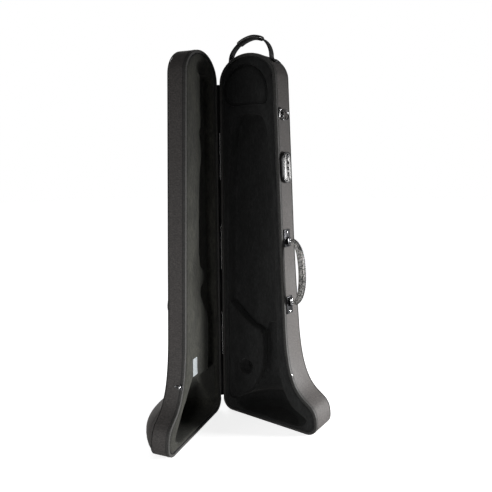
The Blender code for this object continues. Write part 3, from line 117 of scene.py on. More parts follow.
BLOCK = (
    (0.22, 0.36, 0.03), (0.46, 0.37, 0.03), (0.72, 0.52, 0.03), (0.97, 0.76, 0.05),
    (1.14, 1.05, 0.12), (1.26, 1.37, 0.20), (1.28, 1.80, 0.24), (1.28, 2.28, 0.24),
    (1.20, 2.43, 0.10), (0.98, 2.46, 0.05), (0.62, 2.72, 0.04), (0.30, 3.00, 0.03),
    (0.22, 3.03, 0.03),
)
CHANNEL = (
    (0.26, 1.35, 0.03), (0.79, 1.37, 0.05), (0.73, 2.66, 0.04), (0.79, 2.90, 0.04),
    (0.95, 3.11, 0.04), (1.14, 3.47, 0.04), (1.12, 3.62, 0.04), (0.90, 3.72, 0.04),
    (0.89, 4.02, 0.04), (1.12, 4.12, 0.04), (1.16, 4.56, 0.04), (1.10, 5.75, 0.04),
    (1.04, 6.45, 0.04), (0.95, 6.62, 0.04), (0.95, 7.02, 0.04), (1.03, 7.22, 0.04),
    (1.02, 7.45, 0.04), (0.26, 7.45, 0.04),
)
TOP_CHANNEL = (
    (0.30, 7.38, 0.03), (0.95, 7.38, 0.03), (0.95, 8.58, 0.03), (0.87, 8.70, 0.04),
    (0.38, 8.70, 0.04), (0.30, 8.58, 0.03),
)
SHELF = (
    (0.26, 0.36, 0.05), (0.62, 0.30, 0.05), (1.16, 1.08, 0.05), (1.56, 1.46, 0.05),
    (0.81, 1.41, 0.05), (0.26, 1.39, 0.05),
)
# Edge of the padded lid in squares: w and z
PAD = (
    (0.40, 8.00), (1.36, 8.00), (1.43, 8.08), (1.44, 8.28), (1.40, 8.50), (1.28, 8.70),
    (1.10, 8.86), (0.89, 8.95), (0.66, 8.94), (0.45, 8.85), (0.28, 8.72), (0.17, 8.54),
    (0.16, 8.32), (0.24, 8.10),
)
# Rooms for the bell in squares: z, half width and depth
BASE_BELL = (
    (0.13, 0.80, 0.66), (0.20, 0.98, 0.86), (0.28, 1.06, 0.98), (0.36, 1.08, 1.01),
    (0.46, 0.92, 0.99), (0.58, 0.70, 0.84), (0.77, 0.54, 0.62), (1.04, 0.40, 0.52),
    (1.36, 0.31, 0.48), (1.70, 0.26, 0.45),
)
LID_BELL = (
    (0.15, 0.78, 0.62), (0.20, 0.92, 0.80), (0.28, 1.01, 0.96), (0.36, 1.01, 1.00),
    (0.46, 0.96, 0.97), (0.63, 0.83, 0.74), (0.86, 0.66, 0.50), (1.09, 0.45, 0.36),
    (1.27, 0.30, 0.26), (1.50, 0.10, 0.12),
)
RECESS_DEPTH, THROAT_DEPTH, CHANNEL_DEPTH = 0.033, 0.045, 0.025
TOP_CHANNEL_DEPTH, SHELF_DEPTH = 0.024, 0.009
BLOCK_FRONT, BLOCK_BACK, BLOCK_SHOULDER, BLOCK_POCKET = 0.006, 0.0325, 0.0125, 0.034
ABOVE = -0.004
CUP_W, CUP_Z = 0.076, 0.133
CUP_RADIUS, CUP_FLOOR_RADIUS, CUP_DEPTH = 0.021, 0.0185, 0.02
SHANK_RADIUS, SHANK_TOP, SHANK_DEPTH = 0.008, 0.032, 0.064
CUP_PROFILE = ((CUP_RADIUS, -ABOVE), (CUP_RADIUS, -BLOCK_FRONT), (CUP_FLOOR_RADIUS, -CUP_DEPTH),
               (SHANK_RADIUS, -SHANK_TOP), (SHANK_RADIUS, -SHANK_DEPTH))
# Scoop at the lid's top: w, z, half width, depth and half height
SCOOP = (0.072, 0.88, 0.042, 0.0125, 0.02)
PAD_BACK, COMPARTMENT_DEPTH, LEDGE = 0.0125, 0.046, 0.005
PAD_ROOM, BLOCK_ROOM, BLOCK_CORNER = 0.0012, 0.0008, 0.012
MERGE, FLAT = 0.000004, math.radians(1.5)


# Sizes and colours a user may change
class CaseSettings(bpy.types.PropertyGroup):
    voxel: bpy.props.FloatProperty(
        name="Lining fineness", description="Edge length of the lining's faces",
        default=0.0026, min=0.0018, unit="LENGTH")
    soft_passes: bpy.props.IntProperty(
        name="Lining softness", description="Smoothing passes over the linings", default=5, min=0)
    tooth_pitch: bpy.props.FloatProperty(
        name="Tooth pitch", description="Distance from one zip tooth to the next",
        default=0.003, min=0.002, unit="LENGTH")
    stitch_pitch: bpy.props.FloatProperty(
        name="Stitch pitch", description="Distance from one stitch to the next",
        default=0.0042, min=0.002, unit="LENGTH")
    cover_colour: bpy.props.FloatVectorProperty(
        name="Cover", description="Colour of the woven cover", subtype="COLOR",
        default=(0.053, 0.0475, 0.045), min=0, max=1)
    band_colour: bpy.props.FloatVectorProperty(
        name="Edge band", description="Colour of the fabric edge", subtype="COLOR",
        default=(0.034, 0.033, 0.031), min=0, max=1)
    # One plush in two colours: the base copy is set darker as painted shade inside the base, and
    # the lid copy lighter as painted light on the lid lining.
    base_plush_shaded_colour: bpy.props.FloatVectorProperty(
        name="Base plush", description="Colour of the base lining", subtype="COLOR",
        default=(0.0108, 0.0112, 0.0111), min=0, max=1)
    lid_plush_lit_colour: bpy.props.FloatVectorProperty(
        name="Lid plush", description="Colour of the lid lining", subtype="COLOR",
        default=(0.0185, 0.0183, 0.0142), min=0, max=1)
    tag_colour: bpy.props.FloatVectorProperty(
        name="Tag", description="Colour of the bare tag", subtype="COLOR",
        default=(0.3, 0.325, 0.335), min=0, max=1)
    key_power: bpy.props.FloatProperty(
        name="Side lamp", description="Power of the lamp on the latch side", default=8.6, min=0)
    fill_power: bpy.props.FloatProperty(
        name="Front lamp", description="Power of the soft front lamp", default=2.8, min=0)


# Handling of pieces
def deselect():
    if bpy.context.mode != "OBJECT":
        bpy.ops.object.mode_set(mode="OBJECT")
    bpy.ops.object.select_all(action="DESELECT")


def pick(piece):
    deselect()
    piece.select_set(True)
    bpy.context.view_layer.objects.active = piece


def apply_steps(piece):
    pick(piece)
    for step in list(piece.modifiers):
        bpy.ops.object.modifier_apply(modifier=step.name)


def settle(piece, matrix=None):
    """Puts a piece's place into its mesh."""
    bpy.context.view_layer.update()
    place = matrix if matrix is not None else Matrix.Identity(4)
    piece.data.transform(place @ piece.matrix_world)
    piece.matrix_world = Matrix.Identity(4)
    return piece


def smooth_all(piece):
    for face in piece.data.polygons:
        face.use_smooth = True


def smooth_by_angle(piece, degrees):
    """Smooth shading that stays sharp where faces meet at more than the angle."""
    pick(piece)
    bpy.ops.object.shade_smooth_by_angle(angle=math.radians(degrees))


def points_of(piece):
    return np.array([v.co[:] for v in piece.data.vertices])


def move_points(piece, points):
    piece.data.vertices.foreach_set("co", points.ravel())
    piece.data.update()


def ring_faces(rows, sides, closed=False, capped=True):
    """Faces between equal rings of points; the end rings are filled, or join each other."""
    faces = []
    for row in range(rows if closed else rows - 1):
        here, there = row * sides, (row + 1) % rows * sides
        for k in range(sides):
            n = (k + 1) % sides
            faces.append((here + k, here + n, there + n, there + k))
    if capped and not closed:
        faces += [tuple(range(sides)), tuple(range((rows - 1) * sides, rows * sides))]
    return faces


def piece_of(name, points, faces, smooth=True):
    mesh = bpy.data.meshes.new(name)
    mesh.from_pydata([tuple(p) for p in points], [], [tuple(f) for f in faces])
    made = bpy.data.objects.new(name, mesh)
    bpy.context.scene.collection.objects.link(made)
    face_out(made)
    if smooth:
        smooth_all(made)
    return made


def face_out(piece):
    shape = bmesh.new()
    shape.from_mesh(piece.data)
    bmesh.ops.recalc_face_normals(shape, faces=shape.faces)
    if shape.calc_volume(signed=True) < 0:
        bmesh.ops.reverse_faces(shape, faces=shape.faces)
    shape.to_mesh(piece.data)
    shape.free()


def done(piece, body, slot, looks, *nodes):
    """A finished piece: its material, the body it rides on and the nodes it stands for."""
    piece.data.materials.clear()
    piece.data.materials.append(looks)
    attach(piece, body)
    if nodes:
        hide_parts(*nodes)
    return piece


def soften(piece, width, segments=2, angle=30):
    """Rounds the sharp edges of a piece."""
    edge = piece.modifiers.new("soft edges", "BEVEL")
    edge.width = width
    edge.segments = segments
    edge.limit_method = "ANGLE"
    edge.angle_limit = math.radians(angle)
    apply_steps(piece)
    smooth_by_angle(piece, angle)


def refined(node, body, slot, looks, bevel, angle=35):
    """A merged copy of a node with softened edges."""
    made = bpy.data.objects.new(node + "_finished", frame["nodes"][node].data.copy())
    bpy.context.scene.collection.objects.link(made)
    pick(made)
    bpy.ops.object.mode_set(mode="EDIT")
    bpy.ops.mesh.select_all(action="SELECT")
    bpy.ops.mesh.remove_doubles(threshold=MERGE)
    bpy.ops.mesh.dissolve_limited(angle_limit=FLAT)
    bpy.ops.object.mode_set(mode="OBJECT")
    soften(made, bevel, 2, angle)
    return done(made, body, slot, looks, node)


def in_place(side, points):
    """Points given as w, depth and z of a half, in the row frame."""
    points = np.asarray(points, float)
    if side == BASE:
        return points + (HINGE_X, HINGE_Y, 0)
    w, depth, z = points.T
    c, s = math.cos(LID_OPENING), math.sin(LID_OPENING)
    return np.stack([HINGE_X + c * w - s * depth, HINGE_Y - s * w - c * depth, z], 1)


def half_matrix(side):
    """From a half's own x, y and z to the row frame; y is the depth on the base and minus it
    on the lid."""
    place = Matrix.Translation((HINGE_X, HINGE_Y, 0))
    return place if side == BASE else place @ Matrix.Rotation(-LID_OPENING, 4, "Z")


# Outline of the case
def arc(centre_w, centre_z, radius_w, radius_z, start, end, steps):
    return [(centre_w + radius_w * math.cos(start + (end - start) * i / steps),
             centre_z + radius_z * math.sin(start + (end - start) * i / steps))
            for i in range(steps + 1)]


def line(start, end, steps):
    return [(start[0] + (end[0] - start[0]) * i / steps,
             start[1] + (end[1] - start[1]) * i / steps) for i in range(steps + 1)]


def flare(steps):
    lean = (WAIST_W - SHOULDER_W) / (SHOULDER_Z - WAIST_Z)
    ends = ((WAIST_W, WAIST_Z), (WAIST_W + lean * WAIST_PULL, WAIST_Z - WAIST_PULL),
            (BELL_W, BELL_CORNER + BELL_PULL), (BELL_W, BELL_CORNER))
    points = []
    for i in range(steps, -1, -1):
        t = i / steps
        weights = ((1 - t) ** 3, 3 * (1 - t) ** 2 * t, 3 * (1 - t) * t ** 2, t ** 3)
        points.append(tuple(sum(k * end[axis] for k, end in zip(weights, ends))
                            for axis in (0, 1)))
    return points


def outline_sides():
    hinge_corner = (HINGE_SIDE + HINGE_CORNER, HINGE_CORNER, HINGE_CORNER, HINGE_CORNER)
    bell_corner = (BELL_W - BELL_CORNER, BELL_CORNER, BELL_CORNER, BELL_CORNER)
    crown = (TOP_MIDDLE_W, SHOULDER_Z, TOP_HALF_WIDTH, TOP_RISE)
    bottom = arc(*hinge_corner, 5 * TURN, 6 * TURN, CORNER_STEPS)
    bottom += line((HINGE_SIDE + HINGE_CORNER, 0), (BELL_W - BELL_CORNER, 0), BOTTOM_STEPS)[1:]
    bottom += arc(*bell_corner, 6 * TURN, 7 * TURN, CORNER_STEPS)[1:]
    latch = arc(*bell_corner, 7 * TURN, 8 * TURN, CORNER_STEPS)
    latch += flare(FLARE_STEPS)[1:]
    latch += line((WAIST_W, WAIST_Z), (SHOULDER_W, SHOULDER_Z), SIDE_STEPS)[1:]
    latch += arc(*crown, 0, SHOULDER_ANGLE, SHOULDER_STEPS)[1:]
    top = arc(*crown, math.pi - SHOULDER_ANGLE, SHOULDER_ANGLE, ACROSS)
    hinge = arc(*hinge_corner, 5 * TURN, 4 * TURN, CORNER_STEPS)
    straight = latch[CORNER_STEPS + 1:CORNER_STEPS + FLARE_STEPS + SIDE_STEPS + 1]
    hinge += [(HINGE_SIDE, z) for _, z in straight]
    hinge += arc(*crown, math.pi, math.pi - SHOULDER_ANGLE, SHOULDER_STEPS)[1:]
    return bottom, latch, top, hinge


BOTTOM, LATCH, TOP, HINGE = outline_sides()
OUTLINE = BOTTOM + LATCH[1:] + TOP[-2::-1] + HINGE[-2:0:-1]


def left_normals(loop, closed=True):
    found = []
    count = len(loop)
    for i, point in enumerate(loop):
        before = loop[i - 1] if closed or i else loop[1]
        after = loop[(i + 1) % count] if closed or i + 1 < count else loop[-2]
        first = Vector(point) - Vector(before)
        second = Vector(after) - Vector(point)
        if not closed and i == 0:
            first = second
        if not closed and i + 1 == count:
            second = first
        first = Vector((-first.y, first.x)).normalized()
        second = Vector((-second.y, second.x)).normalized()
        found.append((first + second) / (1 + first.dot(second)))
    return found


OUTLINE_NORMALS = left_normals(OUTLINE)


def inset_outline(inset):
    return [(w + n.x * inset, z + n.y * inset) for (w, z), n in zip(OUTLINE, OUTLINE_NORMALS)]


LATCH_LINE = BOTTOM[ACROSS - CORNER_STEPS:] + LATCH[1:]
LATCH_Z = np.array([z for _, z in LATCH_LINE])
LATCH_W = np.array([w for w, _ in LATCH_LINE])


def latch_w(z):
    return float(np.interp(z, LATCH_Z, LATCH_W))


def side_depth(z, side):
    if side == LID:
        return LID_SIDE
    share = min(1, max(0, (SWELL_TOP - z) / SWELL_RUN))
    return BASE_SIDE + BASE_SWELL * share * share * (3 - 2 * share)


def dome(w, z, side, inward):
    foot = SEAM + inward
    low = HINGE_SIDE + foot
    half = (latch_w(z) - foot - low) / 2
    t = (w - low - half) / half
    across = max(0, 1 - t * t) ** DOME_ACROSS
    if z < DOME_PEAK:
        q = min(1, (DOME_PEAK - z) / (DOME_PEAK - foot))
        along = (1 - q ** DOME_FOOT) ** (1 / 2)
    else:
        q = min(1, (z - DOME_PEAK) / DOME_RISE)
        along = (1 - q * q) ** DOME_RISE_POWER
    return (LID_DOME if side == LID else BASE_DOME) * across * along


class Loft:
    """Points and faces of a body built from loops that follow the outline."""

    def __init__(self, side):
        self.side = side
        self.points = []
        self.faces = []

    def add(self, w, depth, z):
        self.points.append((w, depth, z))
        return len(self.points) - 1

    def loop(self, loop, depth_at):
        return [self.add(w, depth_at(w, z) if callable(depth_at) else depth_at, z)
                for w, z in loop]

    def bridge(self, a, b, closed=True):
        for i in range(len(a) if closed else len(a) - 1):
            j = (i + 1) % len(a)
            self.faces.append((a[i], a[j], b[j], b[i]))

    def rings(self, rings, closed=True, last=True):
        pairs = list(zip(rings, rings[1:] + rings[:1]))
        for a, b in pairs if last else pairs[:-1]:
            self.bridge(a, b, closed)

    def filled(self, rings):
        """Rings joined in order, with the first and the last filled."""
        self.rings(rings, last=False)
        self.faces += [tuple(rings[0]), tuple(rings[-1])]

    def bar(self, lines):
        """Lines joined round into a bar, with both its ends filled."""
        self.rings(lines, closed=False)
        self.faces += [tuple(line[0] for line in lines), tuple(line[-1] for line in lines)]

    def panel(self, edge, inset, depth_at):
        """A panel inside an edge loop that follows the outline."""
        loop = inset_outline(inset)
        top_at, hinge_at = ACROSS + UP, 2 * ACROSS + UP
        grid = [[None] * (ACROSS + 1) for _ in range(UP + 1)]
        rim_w = np.array([p[0] for p in loop])
        rim_z = np.array([p[1] for p in loop])
        tops = [top_at + ACROSS - i for i in range(ACROSS + 1)]
        hinges = [(hinge_at + UP - j) % len(loop) for j in range(UP + 1)]
        for i in range(ACROSS + 1):
            grid[0][i] = edge[i]
            grid[UP][i] = edge[tops[i]]
        for j in range(UP + 1):
            grid[j][0] = edge[hinges[j]]
            grid[j][ACROSS] = edge[ACROSS + j]
        low, high = rim_z[ACROSS], rim_z[ACROSS + UP]
        for j in range(1, UP):
            v = (rim_z[ACROSS + j] - low) / (high - low)
            for i in range(1, ACROSS):
                u = i / ACROSS
                spot = []
                for rim in (rim_w, rim_z):
                    ends = ((1 - v) * rim[i] + v * rim[tops[i]]
                            + (1 - u) * rim[hinges[j]] + u * rim[ACROSS + j])
                    corners = ((1 - u) * (1 - v) * rim[0] + u * (1 - v) * rim[ACROSS]
                               + (1 - u) * v * rim[tops[0]] + u * v * rim[tops[ACROSS]])
                    spot.append(float(ends - corners))
                grid[j][i] = self.add(spot[0], depth_at(*spot), spot[1])
        for j in range(UP):
            for i in range(ACROSS):
                self.faces.append((grid[j][i], grid[j][i + 1],
                                   grid[j + 1][i + 1], grid[j + 1][i]))

    def tray(self, inset, front, inward):
        """A side wall, a sloping corner and a back panel. It returns the front loop."""
        slope = inward * (math.sqrt(2) - 1)
        side = self.side
        first = self.loop(inset_outline(inset), front)
        ring = first
        if inset != inward:
            step = self.loop(inset_outline(inset), SHELL_FRONT)
            shoulder = self.loop(inset_outline(inward), SHELL_FRONT)
            self.bridge(first, step)
            self.bridge(step, shoulder)
            ring = shoulder
        last = SEAM + slope
        corner = self.loop(inset_outline(inward), lambda w, z: side_depth(z, side) - last)
        self.bridge(ring, corner)
        edge = self.loop(inset_outline(last), lambda w, z: side_depth(z, side) - inward)
        self.bridge(corner, edge)
        self.panel(edge, last, lambda w, z: side_depth(z, side) - inward
                   + dome(w, z, side, inward))
        return first

    def piece(self, name, placed=True, smooth=True):
        if placed:
            points = in_place(self.side, self.points)
        else:
            points = [(w, self.side * depth, z) for w, depth, z in self.points]
        return piece_of(name, points, self.faces, smooth)


def filleted(points, radius, steps=4):
    """A closed polygon whose corners are drawn round."""
    made = []
    count = len(points)
    for i, point in enumerate(points):
        here = Vector(point)
        ends = []
        for other in (Vector(points[i - 1]), Vector(points[(i + 1) % count])):
            length = (other - here).length
            ends.append(here + (other - here) * min(0.5, radius / length))
        for k in range(steps + 1):
            t = k / steps
            made.append(tuple(ends[0] * (1 - t) ** 2 + here * 2 * t * (1 - t) + ends[1] * t * t))
    return made


def soft_loop(shares, share, grow=0.0):
    loop = [(point[0] * SQUARE, point[1] * SQUARE) for point in shares]
    normals = left_normals(loop)
    widths = [point[2] * SQUARE if len(point) > 2 else 0 for point in shares]
    return [(w + n.x * (width * share - grow), z + n.y * (width * share - grow))
            for (w, z), n, width in zip(loop, normals, widths)]


def hollow(side, shares, depth, steps=6, radius=0.016):
    """A hollow with a rounded floor, as a cutter in a half's own frame."""
    body = Loft(side)
    rings = [body.loop(filleted(soft_loop(shares, 0), radius), ABOVE)]
    wall = depth / 4
    for k in range(steps + 1):
        angle = math.pi / 2 * k / steps
        rings.append(body.loop(filleted(soft_loop(shares, 1 - math.cos(angle)), radius),
                               wall + (depth - wall) * math.sin(angle)))
    body.filled(rings)
    return body.piece("hollow", False)


def plain_hollow(side, loop, depth):
    body = Loft(side)
    body.filled([body.loop(loop, ABOVE), body.loop(loop, depth)])
    return body.piece("hollow", False)


def soft_curve(xs, ys, x):
    """A curve through points that never overshoots them."""
    xs, ys = np.asarray(xs, float), np.asarray(ys, float)
    steps = np.diff(xs)
    slopes = np.diff(ys) / steps
    pulls = np.zeros(len(xs))
    for i in range(1, len(xs) - 1):
        if slopes[i - 1] * slopes[i] > 0:
            pulls[i] = 2 * slopes[i - 1] * slopes[i] / (slopes[i - 1] + slopes[i])
    pulls[0], pulls[-1] = slopes[0], slopes[-1]
    i = np.clip(np.searchsorted(xs, x) - 1, 0, len(xs) - 2)
    t = (x - xs[i]) / steps[i]
    return ((2 * t ** 3 - 3 * t ** 2 + 1) * ys[i] + (t ** 3 - 2 * t ** 2 + t) * steps[i] * pulls[i]
            + (3 * t ** 2 - 2 * t ** 3) * ys[i + 1] + (t ** 3 - t ** 2) * steps[i] * pulls[i + 1])


def bell_hollow(side, shares, sides=48, rows=40):
    """Room for the bell's flare: an oval at each height, from z, half width and depth."""
    heights, half_widths, depths = zip(*shares)
    points = []
    for row in range(rows):
        z = heights[0] + (heights[-1] - heights[0]) * row / (rows - 1)
        half_width = soft_curve(heights, half_widths, z)
        depth = soft_curve(heights, depths, z)
        for k in range(sides):
            angle = 2 * math.pi * k / sides
            points.append((FLARE_W + half_width * SQUARE * math.cos(angle),
                           side * depth * SQUARE * math.sin(angle), z * SQUARE))
    return piece_of("hollow", points, ring_faces(rows, sides))


def carve(piece, cutters):
    """Takes the cutters out of a piece."""
    for cutter in cutters:
        step = piece.modifiers.new("carving", "BOOLEAN")
        step.operation = "DIFFERENCE"
        step.solver = "EXACT"
        step.object = cutter
        apply_steps(piece)
        bpy.data.objects.remove(cutter, do_unlink=True)


def plush(piece, voxel, passes):
    """Turns a carved body into moulded foam under plush: all its edges go soft."""
    pick(piece)
    remesh = piece.modifiers.new("plush", "REMESH")
    remesh.mode = "VOXEL"
    remesh.voxel_size = voxel
    remesh.use_smooth_shade = True
    if passes:
        smooth = piece.modifiers.new("soft edges", "SMOOTH")
        smooth.factor = 0.5
        smooth.iterations = passes
    apply_steps(piece)
    smooth_all(piece)


def thin_hidden(piece, chosen, ratio):
    """Fewer faces where nothing can be seen."""
    pick(piece)
    flags = np.zeros(len(piece.data.polygons), bool)
    flags[chosen] = True
    piece.data.polygons.foreach_set("select", flags)
    bpy.ops.object.mode_set(mode="EDIT")
    bpy.ops.mesh.select_mode(type="FACE")
    bpy.ops.mesh.decimate(ratio=ratio)
    bpy.ops.object.mode_set(mode="OBJECT")


def path_frames(points, closed=False):
    """Places along a line: point, direction and the length up to it."""
    points = [Vector(p) for p in points]
    if closed:
        points.append(points[0])
    lengths = [0.0]
    for a, b in zip(points, points[1:]):
        lengths.append(lengths[-1] + (b - a).length)
    return points, lengths


def along(points, pitch, closed=False):
    """Evenly spaced places on a line, with their directions."""
    points, lengths = path_frames(points, closed)
    count = max(1, int(lengths[-1] / pitch))
    step = lengths[-1] / count
    found = []
    at = 0
    for k in range(count):
        s = (k + 0.5) * step
        while at < len(lengths) - 2 and lengths[at + 1] < s:
            at += 1
        t = (s - lengths[at]) / max(1e-9, lengths[at + 1] - lengths[at])
        found.append((points[at].lerp(points[at + 1], t),
                      (points[at + 1] - points[at]).normalized()))
    return found


def repeated(name, model, places):
    """One mesh of many copies of a small shape, at the given matrices."""
    base = np.array([v.co[:] for v in model.data.vertices])
    faces = [tuple(p.vertices) for p in model.data.polygons]
    points, all_faces = [], []
    for k, place in enumerate(places):
        m = np.array(place)
        points.append(base @ m[:3, :3].T + m[:3, 3])
        all_faces += [tuple(v + k * len(base) for v in face) for face in faces]
    made = piece_of(name, np.concatenate(points), all_faces, False)
    bpy.data.objects.remove(model, do_unlink=True)
    return made


def small_block(size, bevel, taper=1.0):
    """A small rounded block, long along x, standing on its own middle."""
    deselect()
    bpy.ops.mesh.primitive_cube_add(size=1)
    made = bpy.context.object
    made.scale = size
    bpy.ops.object.transform_apply(location=False, rotation=False, scale=True)
    bpy.ops.object.mode_set(mode="EDIT")
    bpy.ops.mesh.select_all(action="SELECT")
    bpy.ops.mesh.bevel(offset=bevel, segments=1, affect="EDGES")
    bpy.ops.object.mode_set(mode="OBJECT")
    if taper != 1:
        for v in made.data.vertices:
            if v.co.z > 0:
                v.co.x *= taper
                v.co.y *= taper
    return made


def axes_matrix(x, y, z, at):
    m = Matrix((x, y, z)).transposed().to_4x4()
    m.translation = at
    return m


def face_place(side, w, depth, z, way, out=-1):
    """A place on a half: x along the way, y to its left and z out of the open face."""
    spots = np.array(((w, depth, z), (w + way.x, depth, z + way.y),
                      (w - way.y, depth, z + way.x), (w, depth + out, z)))
    origin, ahead, left, front = in_place(side, spots)
    return axes_matrix(ahead - origin, left - origin, front - origin, origin)


def outline_places(side, inset, depth, pitch, start=0, stop=None, closed=True, keep=None):
    """Places along the outline of a half, at an inset and a depth."""
    loop = inset_outline(inset)
    loop = loop[start:stop] if stop else loop
    return [face_place(side, spot.x, depth, spot.y, way)
            for spot, way in along([(w, z, 0) for w, z in loop], pitch, closed and not stop)
            if not keep or keep(spot.x, spot.y)]


def wall_frame(side, depth, z):
    """A place on the latch side: x out of the wall, y along the depth and z up the wall."""
    w = latch_w(z)
    lean = math.atan2(latch_w(z - 0.002) - latch_w(z + 0.002), 0.004)
    out = Matrix.Translation((w, side * depth, z)) @ Matrix.Rotation(-lean, 4, "Y")
    return half_matrix(side) @ out


def tube_along(name, centres, radii, sides, closed=False, flat=(1.0, 1.0), up=Vector((0, 1, 0))):
    """A round or oval bar along a line, with its ends closed."""
    centres = [Vector(c) for c in centres]
    count = len(centres)
    points = []
    for i, centre in enumerate(centres):
        before = centres[i - 1] if closed or i else centre
        after = centres[(i + 1) % count] if closed or i + 1 < count else centre
        way = (after - before).normalized()
        side_way = way.cross(up).normalized()
        other = side_way.cross(way).normalized()
        radius = radii[i] if hasattr(radii, "__len__") else radii
        for k in range(sides):
            angle = 2 * math.pi * k / sides
            points.append(centre + side_way * math.cos(angle) * radius * flat[0]
                          + other * math.sin(angle) * radius * flat[1])
    return piece_of(name, points, ring_faces(count, sides, closed))


# Materials
class Look:
    """A finish built from nodes on the object's own coordinates."""

    # Where most values of a noise lie
    MIDDLE = (0.3, 0.7)

    def __init__(self, name, colour, roughness, metallic=0.0):
        self.made = bpy.data.materials.new(name)
        self.made.use_nodes = True
        self.tree = self.made.node_tree
        self.shader = self.tree.nodes["Principled BSDF"]
        self.shader.inputs["Base Color"].default_value = (*colour, 1)
        self.shader.inputs["Roughness"].default_value = roughness
        self.shader.inputs["Metallic"].default_value = metallic
        self.made.diffuse_color = (*colour, 1)
        self.place = self.node("ShaderNodeTexCoord").outputs["Object"]
        self.height = None

    def node(self, kind, **values):
        made = self.tree.nodes.new(kind)
        for key, value in values.items():
            if key in made.inputs:
                made.inputs[key].default_value = value
            else:
                setattr(made, key, value)
        return made

    def link(self, a, b):
        self.tree.links.new(a, b)
        return self

    def stretched(self, scale):
        mapping = self.node("ShaderNodeMapping")
        mapping.inputs["Scale"].default_value = scale
        self.link(self.place, mapping.inputs["Vector"])
        return mapping.outputs["Vector"]

    def noise(self, scale, detail, rough, source=None):
        made = self.node("ShaderNodeTexNoise", Scale=scale, Detail=detail, Roughness=rough)
        self.link(source or self.place, made.inputs["Vector"])
        return made.outputs["Fac"]

    def waves(self, scale, way, distortion=0.0, source=None):
        made = self.node("ShaderNodeTexWave", Scale=scale, Distortion=distortion)
        made.bands_direction = way
        self.link(source or self.place, made.inputs["Vector"])
        return made.outputs["Fac"]

    def cells(self, scale):
        made = self.node("ShaderNodeTexVoronoi", Scale=scale)
        made.feature = "SMOOTH_F1"
        self.link(self.place, made.inputs["Vector"])
        return made.outputs["Distance"]

    def sum(self, a, b, how="ADD"):
        made = self.node("ShaderNodeMath", operation=how)
        for value, socket in zip((a, b), made.inputs):
            if isinstance(value, (int, float)):
                socket.default_value = value
            else:
                self.link(value, socket)
        return made.outputs[0]

    def spread(self, source, low, high, start, stop):
        made = self.node("ShaderNodeMapRange")
        made.inputs["From Min"].default_value = start
        made.inputs["From Max"].default_value = stop
        made.inputs["To Min"].default_value = low
        made.inputs["To Max"].default_value = high
        self.link(source, made.inputs["Value"])
        return made.outputs["Result"]

    def colours(self, source, *stops):
        """Colour along a source: (place, colour) pairs."""
        ramp = self.node("ShaderNodeValToRGB")
        elements = ramp.color_ramp.elements
        while len(elements) < len(stops):
            elements.new(0.5)
        for element, (at, colour) in zip(elements, stops):
            element.position = at
            element.color = (*colour, 1)
        self.link(source, ramp.inputs["Fac"])
        self.link(ramp.outputs["Color"], self.shader.inputs["Base Color"])
        return self

    def roughness(self, source, low, high):
        return self.link(self.spread(source, low, high, *self.MIDDLE),
                         self.shader.inputs["Roughness"])

    def bump(self, source, distance, strength):
        made = self.node("ShaderNodeBump", Strength=strength, Distance=distance)
        self.link(source, made.inputs["Height"])
        if self.height:
            self.link(self.height, made.inputs["Normal"])
        self.height = made.outputs["Normal"]
        self.link(self.height, self.shader.inputs["Normal"])
        return self

    def sheen(self, weight, roughness, tint):
        self.shader.inputs["Sheen Weight"].default_value = weight
        self.shader.inputs["Sheen Roughness"].default_value = roughness
        self.shader.inputs["Sheen Tint"].default_value = (*tint, 1)
        return self

    def coat(self, weight, roughness):
        self.shader.inputs["Coat Weight"].default_value = weight
        self.shader.inputs["Coat Roughness"].default_value = roughness
        return self


def shade(colour, factor):
    return tuple(min(1.0, c * factor) for c in colour)


def woven(name, colour, rib=0.0011, depth=0.00018, sheen=0.25):
    """Ribbed nylon: fine ribs across the wall, with threads between them."""
    look = Look(name, colour, 0.72)
    ribs = look.noise(1.0, 3, 0.55, look.stretched((0.16 / rib, 0.16 / rib, 1 / rib)))
    threads = look.noise(1.0, 2, 0.5, look.stretched((0.7 / rib, 0.7 / rib, 0.3 / rib)))
    cloth = look.sum(look.sum(ribs, 0.65, "MULTIPLY"), look.sum(threads, 0.35, "MULTIPLY"))
    uneven = look.noise(7, 4, 0.6)
    flecks = look.noise(1.0, 2, 0.6, look.stretched((260, 260, 420)))
    tone = look.sum(look.sum(cloth, 0.45, "MULTIPLY"), look.sum(uneven, 0.2, "MULTIPLY"))
    tone = look.sum(tone, look.sum(flecks, 0.35, "MULTIPLY"))
    look.colours(tone, (0.36, shade(colour, 0.4)), (0.5, colour), (0.64, shade(colour, 1.8)))
    look.roughness(uneven, 0.62, 0.8)
    look.bump(cloth, depth * 3, 0.9)
    return look.sheen(sheen, 0.35, (0.9, 0.87, 0.84)).made


def pile(name, colour, sheen, depth=0.0005):
    """Short plush: nap that lies in soft patches, with a fine pile."""
    look = Look(name, colour, 0.95)
    nap = look.noise(1.0, 4, 0.7, look.stretched((38, 38, 16)))
    strokes = look.noise(1.0, 4, 0.65, look.stretched((260, 260, 90)))
    tufts = look.noise(430, 3, 0.7)
    tone = look.sum(look.sum(nap, 0.35, "MULTIPLY"), look.sum(strokes, 0.4, "MULTIPLY"))
    tone = look.sum(tone, look.sum(tufts, 0.25, "MULTIPLY"))
    look.colours(tone, (0.38, shade(colour, 0.3)), (0.5, colour), (0.62, shade(colour, 2.1)))
    look.bump(nap, 0.0012, 0.4).bump(strokes, 0.0012, 0.8).bump(tufts, depth, 0.9)
    return look.sheen(sheen, 0.5, (0.82, 0.84, 0.78)).made


def leather(name, colour):
    look = Look(name, colour, 0.34)
    grain = look.cells(950)
    creases = look.noise(160, 5, 0.65)
    look.colours(creases, (0.35, shade(colour, 0.7)), (0.7, shade(colour, 1.6)))
    look.roughness(creases, 0.24, 0.46)
    return look.bump(grain, 0.00022, 0.6).bump(creases, 0.00025, 0.35).coat(0.35, 0.22).made


